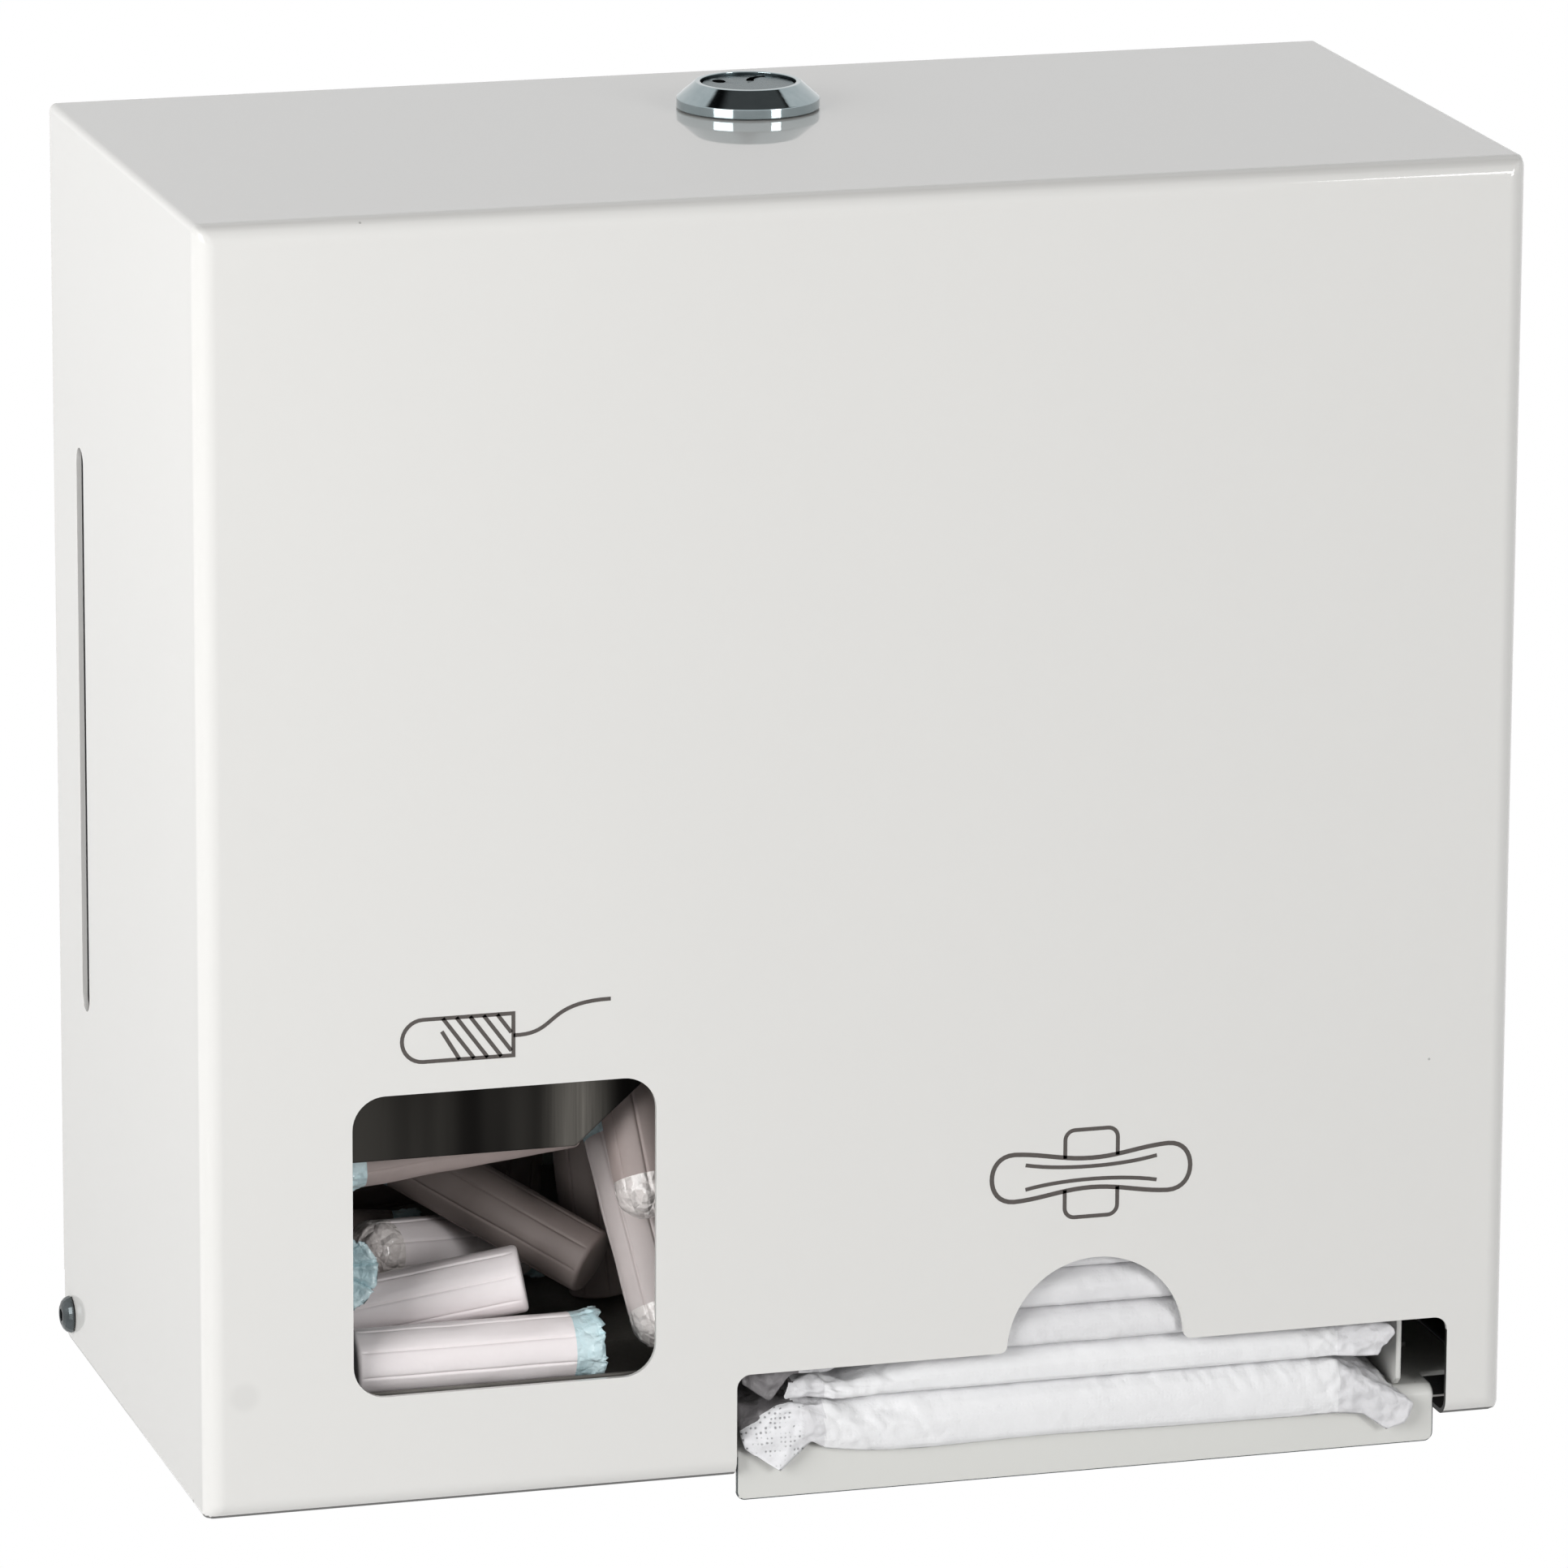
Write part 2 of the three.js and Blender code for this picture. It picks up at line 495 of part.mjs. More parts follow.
// One wrapped pad, lofted along X: a soft flat body whose film is gathered and pressed flat at both ends.
function padGeometry(stations = 10, around = 12) {
  const { length, depth, thickness } = PAD;
  const tail = 10;
  const positions = [];
  for (let i = 0; i <= stations; i += 1) {
    const x = -length / 2 + (length * i) / stations;
    const inset = Math.min(length / 2 - Math.abs(x), tail) / tail;
    const fill = Math.sin((inset * Math.PI) / 2);
    const halfHeight = THREE.MathUtils.lerp(0.7, thickness / 2, fill);
    const halfDepth = THREE.MathUtils.lerp(depth * 0.43, depth / 2, fill);
    for (let k = 0; k < around; k += 1) {
      const angle = (k / around) * Math.PI * 2;
      const across = Math.sign(Math.cos(angle)) * Math.abs(Math.cos(angle)) ** 0.35;
      const up = Math.sign(Math.sin(angle)) * Math.abs(Math.sin(angle)) ** 0.8;
      positions.push(x, across * halfDepth, up * halfHeight);
    }
  }
  const faces = [];
  for (let i = 0; i < stations; i += 1) {
    for (let k = 0; k < around; k += 1) {
      const a = i * around + k;
      const b = i * around + ((k + 1) % around);
      faces.push(a, b, a + around, b, b + around, a + around);
    }
  }
  const last = stations * around;
  for (let k = 1; k < around - 1; k += 1) {
    faces.push(0, k + 1, k, last, last + k, last + k + 1);
  }
  const geometry = new THREE.BufferGeometry();
  geometry.setAttribute('position', new THREE.Float32BufferAttribute(positions, 3));
  geometry.setIndex(faces);
  geometry.computeVertexNormals();
  return geometry;
}

// One wrapped tampon along +X: a cylinder with a rounded tip at one end and a gathered end at the other.
function tamponGeometry() {
  const { radius, length } = TAMPON;
  const half = length / 2;
  const outline = [[0, -half], [radius * 0.55, -half + 0.4], [radius * 0.92, -half + 3], [radius, -half + 6],
    [radius, half - 7], [radius * 0.86, half - 3], [radius * 0.5, half - 0.6], [0, half]];
  const points = outline.map(([r, h]) => new THREE.Vector2(r, h));
  return new THREE.LatheGeometry(points, 14).rotateZ(-Math.PI / 2);
}

// How the tampons lie: the middle of each and the way its rounded tip points.
const TAMPONS = [
  { at: [-76, -115.4, 26.4], tip: [-1, 0, 0] },
  { at: [-88, -101.3, 33.3], tip: [0.956, -0.215, 0.2] },
  { at: [-65.4, -83, 46.8], tip: [0.718, -0.58, -0.385] },
  { at: [-71.1, -74.5, 35.4], tip: [-0.874, -0.465, 0.145] },
  { at: [-108.9, -91.5, 44], tip: [-0.301, 0.954, 0] },
  { at: [-77.5, -102.5, 67], tip: [0.994, 0.03, 0.1] },
  { at: [-38.8, -101.4, 45.3], tip: [0.099, -0.557, -0.825] },
  { at: [-42, -74, 49.2], tip: [0.1, -0.08, -0.992] },
  { at: [-41.2, -103, 73.1], tip: [0.07, -0.47, -0.88] },
  { at: [-49.5, -44, 53], tip: [-0.06, 0.1, -0.993] },
  { at: [-98.1, -58.8, 34.4], tip: [-0.989, 0.13, 0.076] },
  { at: [-90, -38, 38.5], tip: [0.987, 0.151, 0.05] },
];

function named(name, geometry, material) {
  const mesh = new THREE.Mesh(geometry, material);
  mesh.name = name;
  return mesh;
}

const dispenser = new THREE.Group();
dispenser.position.z = -COVER.height / 2;

const floorSlots = floorTabs(MOVE_GAP);
const sightSlotCut = alongX(sightSlotOutline(1), -HALF_WIDTH, HALF_WIDTH, 6);
const camSlotCut = alongX(roundedRectangle(CAM_SLOT.front, CAM_SLOT.rear, CAM_SLOT.bottom, CAM_SLOT.top,
  [1, 1, 1, 1]), -40, -20, 3);
const rivetHoles = BAFFLE_RIVETS.map(([y, z]) => rod('x', -140, y, z, 1.9, 130, 12));

const pieces = [
  ['back_plate', makeBackPlate(), WHITE_PAINT],
  ['pad_tray', makePadTray(), WHITE_PAINT],
  ['bin_left_wall', cut(makeWall(WALLS.binLeft, 1, 0), sightSlotCut, floorSlots, ...rivetHoles), WHITE_PAINT],
  ['chute_left_wall', cut(makeWall(WALLS.chuteLeft, -1, 2), floorSlots, camSlotCut, ...rivetHoles), WHITE_PAINT],
  ['chute_right_wall', cut(makeWall(WALLS.chuteRight, 1, 4), sightSlotCut), WHITE_PAINT],
  ['bin_floor', makeBinFloor(), BRUSHED_STEEL],
  ['bin_baffle', makeBaffle(), BRUSHED_STEEL],
  ['cover', makeCover(), WHITE_PAINT],
  ['lock_body', makeLockBody(), CHROME],
  ['lock_washer', makeLockWasher(), ZINC],
  ['lock_nut', makeLockNut(), ZINC],
  ['lock_plug', makeLockPlug(), CHROME],
  ['lock_cam', makeLockCam(), ZINC],
  ['lock_cam_screw', makeLockCamScrew(), ZINC],
];
pieces.forEach(([name, body, material]) => dispenser.add(named(name, geometryOf(body), material)));

const repeated = [
  ['stud_nut', ['bin_wall', 'chute_left', 'chute_right', 'tray_left', 'tray_right', 'floor'], makeStudNuts(), ZINC],
  ['foot_rivet', ['bin_front', 'bin_rear', 'left_front', 'left_rear', 'right_front', 'right_rear'],
    makeFootRivets(), ZINC],
  ['baffle_rivet', ['left_low', 'left_high', 'right_low', 'right_high'], makeBaffleRivets(), ZINC],
  ['pivot_screw', ['right', 'left'], makePivotScrews(), DARK_STEEL],
  ['pivot_bushing', ['right', 'left'], makePivotBushings(), NYLON],
  ['pivot_nut', ['right', 'left'], makePivotNuts(), ZINC],
];
repeated.forEach(([name, places, bodies, material]) => bodies.forEach((body, k) =>
  dispenser.add(named(`${name}_${places[k]}`, geometryOf(body), material))));

// The stack of pads leans a little from pad to pad, and the lowest is drawn forward to the tray's lip.
for (let k = 0; k < PAD.count; k += 1) {
  const pad = named(`pad_${String(k + 1).padStart(2, '0')}`, padGeometry(), WRAPPER);
  const back = k === 0 ? 0 : 0.6 + 0.5 * Math.sin(k * 2.1);
  pad.position.set(
    PAD.middleX + 0.6 * Math.sin(k * 1.7),
    PAD.front + PAD.depth / 2 + back,
    TRAY.top + MOVE_GAP + PAD.thickness / 2 + k * PAD.pitch);
  dispenser.add(pad);
}

TAMPONS.forEach(({ at, tip }, k) => {
  const tampon = named(`tampon_${String(k + 1).padStart(2, '0')}`, tamponGeometry(), COTTON);
  tampon.position.set(...at);
  tampon.quaternion.setFromUnitVectors(new THREE.Vector3(1, 0, 0), new THREE.Vector3(...tip).normalize());
  dispenser.add(tampon);
});

export default dispenser;
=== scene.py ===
# %% [markdown]
# A locking dispenser for sanitary pads and tampons
#
# The real object is a folded sheet steel box for a washroom wall. Its white cover tilts forward on two screws, and
# inside it a tray, three walls, a bin floor and a baffle hold the stock. The CAD model gives every size and place.
# This lesson dresses it for a studio photograph: finer bends, powder coat, chrome, soft wrapped pads and cotton rolls.

import json
import math

import bmesh
import bpy
import numpy as np
from mathutils import Matrix, Vector, noise


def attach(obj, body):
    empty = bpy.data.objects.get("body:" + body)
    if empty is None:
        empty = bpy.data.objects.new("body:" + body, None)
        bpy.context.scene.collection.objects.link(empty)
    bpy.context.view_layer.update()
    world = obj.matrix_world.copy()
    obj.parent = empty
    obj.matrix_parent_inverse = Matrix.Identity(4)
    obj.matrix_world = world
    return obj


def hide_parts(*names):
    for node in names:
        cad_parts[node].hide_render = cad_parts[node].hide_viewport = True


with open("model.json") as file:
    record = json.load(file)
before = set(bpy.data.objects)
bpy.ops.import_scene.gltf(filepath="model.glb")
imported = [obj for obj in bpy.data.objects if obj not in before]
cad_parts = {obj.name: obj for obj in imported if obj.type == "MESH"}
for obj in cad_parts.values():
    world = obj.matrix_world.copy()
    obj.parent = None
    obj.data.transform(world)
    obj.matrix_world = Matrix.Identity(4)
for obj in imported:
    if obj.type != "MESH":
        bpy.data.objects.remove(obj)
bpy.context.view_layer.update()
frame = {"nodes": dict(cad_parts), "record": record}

# %% [markdown]
# One set of numbers for the whole lesson
#
# The sheet metal drawing counts heights from the cover's bottom edge, in millimetres. Blender works in metres with the
# origin half way up the back plate, so one small function turns a drawing point into a Blender point.

# %% Drawing sizes and the step to metres
MM = 0.001
HALF_WIDTH, HEIGHT, DEPTH = 132.5, 255.0, 127.0
SHEET = 1.0
BEND, SEAM = 4.0, 1.5
PIVOT_Y, PIVOT_Z = -7.5, 6.5
LOCK_Y = -39.8
LIFT = -HEIGHT / 2
SAME_PLACE = 1e-7


def to_metres(x, y, z):
    return Vector((x * MM, y * MM, (z + LIFT) * MM))


def smooth_step(low, high, value):
    """0 at low, 1 at high and a soft S between them. low may be the larger one."""
    t = min(max((value - low) / (high - low), 0), 1)
    return t * t * (3 - 2 * t)


def adjust(thing, **settings):
    """Sets properties of a modifier, node, lamp or other thing of Blender's."""
    for name, value in settings.items():
        setattr(thing, name, value)
    return thing


def link_object(name, data):
    """An object for a mesh, lamp or camera, in the scene."""
    made = bpy.data.objects.new(name, data)
    bpy.context.scene.collection.objects.link(made)
    return made


def new_object(name, vertices, faces, smooth=True, weld=False):
    """A mesh object from drawing points in millimetres. weld joins the points that share a place."""
    mesh = bpy.data.meshes.new(name)
    mesh.from_pydata([to_metres(*v) for v in vertices], [], faces)
    mesh.validate()
    shape = bmesh.new()
    shape.from_mesh(mesh)
    bmesh.ops.recalc_face_normals(shape, faces=shape.faces)
    if weld:
        bmesh.ops.remove_doubles(shape, verts=shape.verts, dist=SAME_PLACE)
        bmesh.ops.dissolve_degenerate(shape, edges=shape.edges, dist=SAME_PLACE)
        bmesh.ops.recalc_face_normals(shape, faces=shape.faces)
    shape.to_mesh(mesh)
    shape.free()
    mesh.polygons.foreach_set("use_smooth", [smooth] * len(mesh.polygons))
    return link_object(name, mesh)


def modify(made, name, kind, **settings):
    """Makes the result of a modifier the object's own mesh."""
    adjust(made.modifiers.new(name, kind), **settings)
    bpy.context.view_layer.update()
    evaluated = made.evaluated_get(bpy.context.evaluated_depsgraph_get())
    finished = bpy.data.meshes.new_from_object(evaluated)
    made.modifiers.clear()
    made.data = finished
    return made


def finish_piece(made, finish_names, body, slot, *nodes):
    """Gives a piece its finishes, the body that it rides on and the CAD nodes that it stands for. Its finish slot is
    not used.
    """
    made.data.materials.clear()
    for name in finish_names:
        made.data.materials.append(finishes[name])
    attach(made, body)
    if nodes:
        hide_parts(*nodes)
    return made


def choose_finishes(made, choose):
    """Gives each face one of its piece's finishes, by number. choose gets the face's middle, as a drawing point, and
    its normal."""
    for face in made.data.polygons:
        x, y, z = (v / MM for v in face.center)
        face.material_index = choose(x, y, z - LIFT, face.normal)


print("cover:", 2 * HALF_WIDTH, "x", DEPTH, "x", HEIGHT, "mm")

# %% [markdown]
# The camera
#
# A product photograph is taken from far away with a long lens, so that upright edges stay almost parallel. The corners
# of the box in the photograph fix the camera: about 2.1 m away, 16 degrees to the left and 14 degrees above. The
# camera's axes are written out from those angles, because a tracking constraint could not hold the slight roll.

# %% Camera
CAMERA_AZIMUTH, CAMERA_ELEVATION, CAMERA_ROLL = -16.214, 14.564, 0.272
CAMERA_DISTANCE = 2139.7 * MM
SIDE_STEP, UP_STEP = 1.118 * MM, -4.618 * MM
FRAME_PIXELS, FOCAL_PIXELS = 1932, 13270.9
SENSOR, FAR_LIMIT = 36.0, 30


def camera_axes(azimuth, elevation, roll):
    a, e, r = (math.radians(v) for v in (azimuth, elevation, roll))
    back = Vector((math.sin(a) * math.cos(e), -math.cos(a) * math.cos(e), math.sin(e)))
    right = (-back).cross(Vector((0, 0, 1))).normalized()
    up = right.cross(-back)
    return (right * math.cos(r) + up * math.sin(r), up * math.cos(r) - right * math.sin(r), back)


lens = bpy.data.cameras.new("camera")
camera = link_object("camera", lens)
right, up, back = camera_axes(CAMERA_AZIMUTH, CAMERA_ELEVATION, CAMERA_ROLL)
looked_at = to_metres(0, -DEPTH / 2, HEIGHT / 2)
spot = looked_at + back * CAMERA_DISTANCE + right * SIDE_STEP + up * UP_STEP
turn = Matrix((right, up, back)).transposed().to_4x4()
camera.matrix_world = Matrix.Translation(spot) @ turn
adjust(lens, sensor_width=SENSOR, lens=SENSOR * FOCAL_PIXELS / FRAME_PIXELS, clip_end=FAR_LIMIT)
bpy.context.scene.camera = camera
bpy.context.scene.view_settings.view_transform = "Standard"
print("lens:", round(lens.lens, 1), "mm, camera at", tuple(round(v, 3) for v in spot))

# %% [markdown]
# The world as nodes
#
# Light, ground and finishes are all trees of nodes. One function adds a node and feeds its sockets, each with a plain
# value or from another node, and the others name the nodes that come up most often. The world's tree gives the even
# part of the light. For camera, glossy and transmission rays it is plain white, so the chrome and the coat mirror the
# ground that the camera sees.

# %% Node helpers and the world
WHITE = (1, 1, 1, 1)
WORLD_FILL = 0.19


def feed(tree, socket, value):
    """Gives a socket its own value, or links it to another node or one of its outputs."""
    if isinstance(value, bpy.types.Node):
        value = value.outputs[0]
    if isinstance(value, bpy.types.NodeSocket):
        tree.links.new(value, socket)
    else:
        socket.default_value = value


def add_node(tree, kind, sockets=None, **settings):
    """A node with its settings. sockets says what feeds its inputs, by name or number."""
    node = adjust(tree.nodes.new("ShaderNode" + kind), **settings)
    for name, value in (sockets or {}).items():
        feed(tree, node.inputs[name], value)
    return node


def math_node(tree, operation, *values):
    return add_node(tree, "Math", dict(enumerate(values)), operation=operation).outputs[0]


def map_range(tree, value, low, high, to_low=0.0, to_high=1.0, smooth=False):
    """Maps the range from low to high to another one, in a straight line or as a soft S."""
    sockets = {"Value": value, "From Min": low, "From Max": high, "To Min": to_low, "To Max": to_high}
    return add_node(tree, "MapRange", sockets, interpolation_type="SMOOTHSTEP" if smooth else "LINEAR").outputs[0]


def object_place(tree):
    return add_node(tree, "TexCoord").outputs["Object"]


def apart(tree, vector):
    """The three parts of a vector, by name."""
    return add_node(tree, "SeparateXYZ", {0: vector}).outputs


def rays_of(tree, *kinds):
    """1 for rays of any of these kinds."""
    rays = add_node(tree, "LightPath").outputs
    found = rays[f"Is {kinds[0]} Ray"]
    for kind in kinds[1:]:
        found = math_node(tree, "MAXIMUM", found, rays[f"Is {kind} Ray"])
    return found


def clear_nodes(owner):
    """Starts the empty node tree of a world or material."""
    owner.use_nodes = True
    owner.node_tree.nodes.clear()
    return owner.node_tree


world = bpy.data.worlds.new("studio")
bpy.context.scene.world = world
tree = clear_nodes(world)
fill = add_node(tree, "Background", {"Color": WHITE, "Strength": WORLD_FILL})
white = add_node(tree, "Background", {"Color": WHITE})
seen = rays_of(tree, "Camera", "Glossy", "Transmission")
add_node(tree, "OutputWorld", {"Surface": add_node(tree, "MixShader", {"Fac": seen, 1: fill, 2: white})})
print("world:", len(tree.nodes), "nodes")

# %% [markdown]
# Studio and light
#
# The photograph has a plain white ground and two softboxes in front, one near on the left and one far on the right.
# Their mirror images are the two white patches on the lock's band, which fixes where they stand. Two flags over the
# lock draw its cone, as photographers do with chrome, and a card behind fades the mirror image in the box's top. Only
# glossy rays see the flags and the card.

# %% Floor and cards
MATT_GREY = (0.8, 0.8, 0.8, 1)
FLOOR_SIDE, FLOOR_HEIGHT = 6, -0.6
RIM_START = 0.72
FLAG_STEP = 0.056, -0.046
FLAGS = (("black_flag", 0.30, (0.68, 0.27), 0.008, 1.0), ("grey_flag", 0.297, (0.42, 0.22), 0.12, 0.008))


def studio_sheet(name, width, depth):
    """A flat rectangle in metres that isn't part of the object, and its empty material's tree."""
    w, h = width / 2, depth / 2
    mesh = bpy.data.meshes.new(name)
    mesh.from_pydata([(-w, -h, 0), (w, -h, 0), (w, h, 0), (-w, h, 0)], [], [(0, 1, 2, 3)])
    material = bpy.data.materials.new(name)
    mesh.materials.append(material)
    sheet = link_object(name, mesh)
    return sheet, clear_nodes(material)


floor, tree = studio_sheet("floor", FLOOR_SIDE, FLOOR_SIDE)
floor.location.z = FLOOR_HEIGHT
matt = add_node(tree, "BsdfDiffuse", {"Color": MATT_GREY})
glow = add_node(tree, "Emission", {"Strength": 1.0})
seen = rays_of(tree, "Camera", "Glossy")
add_node(tree, "OutputMaterial", {"Surface": add_node(tree, "MixShader", {"Fac": seen, 1: matt, 2: glow})})


def studio_card(name, centre, size, facing, brightness, edge_brightness, rim=False, swing=0.0):
    """A flat card for reflections only. It fades to a second brightness at its lower edge, or with rim all round.
    swing turns it about the upright axis, in degrees."""
    card, tree = studio_sheet(name, *size)
    card.location = centre
    upright_turn = Matrix.Rotation(math.radians(swing), 3, "Z")
    card.rotation_euler = (upright_turn @ Vector(facing).to_track_quat("Z", "Y").to_matrix()).to_euler()
    w, h = size[0] / 2, size[1] / 2
    if rim:
        folded = add_node(tree, "VectorMath", {0: object_place(tree)}, operation="ABSOLUTE")
        scaled = apart(tree, add_node(tree, "VectorMath", {0: folded, 1: (1 / w, 1 / h, 0)}, operation="MULTIPLY"))
        outward = math_node(tree, "MAXIMUM", scaled["X"], scaled["Y"])
        strength = map_range(tree, outward, RIM_START, 1.0, brightness, edge_brightness, smooth=True)
    else:
        strength = map_range(tree, apart(tree, object_place(tree))["Y"], -h, h, edge_brightness, brightness)
    add_node(tree, "OutputMaterial", {"Surface": add_node(tree, "Emission", {"Strength": strength})})
    adjust(card, visible_camera=False, visible_diffuse=False, visible_transmission=False, visible_shadow=False)


lock_spot = to_metres(0, LOCK_Y, HEIGHT)
for name, height, size, inner, outer in FLAGS:
    studio_card(name, lock_spot + Vector((*FLAG_STEP, height)), size, (0, 0, -1), inner, outer, rim=True,
                swing=CAMERA_AZIMUTH)
studio_card("rear_card", (-0.50, 1.10, -0.32), (0.9, 0.54), (0, -1, 0), 0.88, 0.54)


# %% Lamps
def soft_lamp(name, direction, distance, width, height, watts):
    """A softbox that stands in a direction from the object and looks at it."""
    lamp = bpy.data.lights.new(name, "AREA")
    holder = link_object(name, adjust(lamp, shape="RECTANGLE", size=width, size_y=height, energy=watts))
    away = Vector(direction).normalized()
    holder.location = away * distance
    holder.rotation_euler = away.to_track_quat("Z", "Y").to_euler()
    return holder


soft_lamp("left_lamp", (-0.79, -0.56, 0.25), 1.3, 0.71, 0.71, 10.6)
soft_lamp("right_lamp", (0.484, -0.839, 0.25), 4.0, 1.1, 1.9, 59)
side_lamp = soft_lamp("side_lamp", (-0.96, 0.26, 0.1), 2.0, 1.2, 1.2, 11.5)
side_lamp.visible_glossy = False

# %% [markdown]
# Shared surface effects
#
# Several finishes need the same small effects: the orange peel of sprayed powder, streaks from a brushing belt, light
# soiling, and the embossed points and crumples of thin film. Each is a node group with named inputs that gives only a
# number over the surface, so that a material can place it with its own values. All are read from object coordinates,
# which here are metres, because the parts have no unwrapped sheets.

# %% Group helpers and the orange peel of sprayed powder
def start_group(name, **inputs):
    """An empty node group with number inputs and their defaults, and what its inputs give inside it."""
    group = bpy.data.node_groups.new(name, "ShaderNodeTree")
    for label, value in spoken(inputs).items():
        group.interface.new_socket(label, in_out="INPUT", socket_type="NodeSocketFloat").default_value = value
    return group, group.nodes.new("NodeGroupInput").outputs


def end_group(group, **results):
    """Gives a group its outputs."""
    for label in results:
        group.interface.new_socket(label, in_out="OUTPUT", socket_type="NodeSocketFloat")
    end = group.nodes.new("NodeGroupOutput")
    for label, value in results.items():
        feed(group, end.inputs[label], value)
    print("group", group.name, "with", len(group.nodes), "nodes")


def spoken(values):
    """Socket names as Blender writes them, with spaces."""
    return {label.replace("_", " "): value for label, value in values.items()}


def noise_at(tree, scale, detail=2.0, stretch=None, roughness=0.5):
    """Noise over object coordinates. stretch is a factor for each axis, so that small values give long streaks."""
    where = object_place(tree)
    if stretch is not None:
        where = add_node(tree, "Mapping", {"Vector": where, "Scale": stretch})
    sockets = {"Vector": where, "Scale": scale, "Detail": detail, "Roughness": roughness}
    return add_node(tree, "TexNoise", sockets).outputs["Fac"]


peel, given = start_group("orange_peel", Size_per_metre=420.0, Grit_per_metre=2600.0)
waves = noise_at(peel, given["Size per metre"], detail=1.0)
grit = noise_at(peel, given["Grit per metre"])
end_group(peel, Height=math_node(peel, "MULTIPLY_ADD", grit, 0.12, waves), Dullness=grit)


# %% Group: soiling, a slow cloud with a few small specks
def cells_at(tree, scale, feature="F1", randomness=1.0):
    """Cells over object coordinates."""
    sockets = {"Vector": object_place(tree), "Scale": scale, "Randomness": randomness}
    return add_node(tree, "TexVoronoi", sockets, feature=feature).outputs


soiling, given = start_group("light_soiling", Cloud_per_metre=9.0, Speck_per_metre=60.0, Speck_size=0.016)
specks = cells_at(soiling, given["Speck per metre"])
near = math_node(soiling, "LESS_THAN", specks["Distance"], given["Speck size"])
chosen = math_node(soiling, "GREATER_THAN", add_node(soiling, "SeparateColor", {0: specks["Color"]}), 0.8)
end_group(soiling, Cloud=noise_at(soiling, given["Cloud per metre"], detail=4.0),
          Specks=math_node(soiling, "MULTIPLY", near, chosen))

# %% Group: streaks of a brushing belt, which runs up the sheet
streaks, given = start_group("brushed_streaks", Streaks_per_metre=1500.0)
band = noise_at(streaks, 55.0, stretch=(1, 1, 0.06))
end_group(streaks, Streak=noise_at(streaks, given["Streaks per metre"], detail=3.0, stretch=(1, 1, 0.02)),
          Band=map_range(streaks, band, 0.46, 0.84, smooth=True))

# %% Group: thin film, with sharp crumples where it is gathered
crumple, given = start_group("film_crumple", Folds_per_metre=160.0, Fine_per_metre=900.0)
folds = cells_at(crumple, given["Folds per metre"], "DISTANCE_TO_EDGE")["Distance"]
fine_film = noise_at(crumple, given["Fine per metre"], detail=3.0)
slow_film = noise_at(crumple, 120.0, detail=3.0, roughness=0.6)
both = math_node(crumple, "ADD", folds, slow_film)
end_group(crumple, Height=math_node(crumple, "MULTIPLY_ADD", fine_film, 0.25, both), Sheen=slow_film)

# %% Group: embossed points of a bonded non-woven
emboss, given = start_group("embossed_points", Points_per_metre=900.0, Point_size=0.42)
points = cells_at(emboss, given["Points per metre"], randomness=0.15)
end_group(emboss, Pit=map_range(emboss, points["Distance"], 0.1, given["Point size"], smooth=True))

# %% [markdown]
# Finishes
#
# The cover is white powder coat: a satin base under a smooth skin that mirrors the lock at a low angle. Its inside is
# dark grey and its lower edges mid grey, both painted shade, and low on its front there is a faint round mark.
# The walls and tray have the white paint, except that the outer side of the bin's left wall is dark grey and the lip's
# lower and side edges are dark steel, both painted shade. The bin floor and baffle are bare brushed sheet, and the
# baffle's very dark colour is partly painted shade. The lock is polished chrome, with painted shade inside its rim and
# in its key notches, and the hidden fasteners are zinc plated. CAD sheets keep their own faceted bends, and a bevel
# node softens those edges. The rolls deep in the bin, the pads above the two lowest and the pad film deep in the slot
# get darker copies of their finishes as painted shade.

# %% Material builder
NOISE_RANGE = 0.3, 0.7
finishes = {}


def srgb(hex_code):
    """Linear colour of a hex code, as Blender's sockets want it."""
    levels = [int(hex_code[i:i + 2], 16) / 255 for i in (0, 2, 4)]
    return [c / 12.92 if c <= 0.04045 else ((c + 0.055) / 1.055) ** 2.4 for c in levels]


def new_finish(name, **sockets):
    """A material with one Principled shader whose plain values sit on its own sockets, kept under its name."""
    finishes[name] = bpy.data.materials.new(name)
    tree = clear_nodes(finishes[name])
    shader = add_node(tree, "BsdfPrincipled", spoken(sockets))
    add_node(tree, "OutputMaterial", {"Surface": shader})
    print("finish", len(finishes), name)
    return tree, shader.inputs


def use_group(tree, group_name, **values):
    """What a shared effect gives with this material's values."""
    return add_node(tree, "Group", spoken(values), node_tree=bpy.data.node_groups[group_name]).outputs


def blend_colours(tree, mask, low, high):
    """A colour between two, of which each is three numbers or comes from another node."""
    low, high = ((*c, 1) if isinstance(c, list) else c for c in (low, high))
    return add_node(tree, "Mix", {"A": low, "B": high, "Factor": mask}, data_type="RGBA").outputs["Result"]


def relief(tree, shader, height, depth_mm, soften_mm=0.0):
    """A bump of a real depth on the shader's normal, over edges softened by a bevel where the mesh is faceted."""
    sockets = {"Distance": depth_mm * MM, "Height": height}
    if soften_mm:
        sockets["Normal"] = add_node(tree, "Bevel", {"Radius": soften_mm * MM}, samples=4)
    feed(tree, shader["Normal"], add_node(tree, "Bump", sockets))


def dress(tree, shader, mask, low, high, height, depth_mm, roughness=None, dullness=None, soften_mm=0.0):
    """What most finishes share: by a mask a colour between two hex codes, by the same mask or by dullness a roughness
    between two, and a relief."""
    feed(tree, shader["Base Color"], blend_colours(tree, mask, srgb(low), srgb(high)))
    if roughness is not None:
        dullness = mask if dullness is None else dullness
        feed(tree, shader["Roughness"], map_range(tree, dullness, *NOISE_RANGE, *roughness))
    relief(tree, shader, height, depth_mm, soften_mm)


print("linear value of a middle grey:", round(srgb("808080")[0], 3))


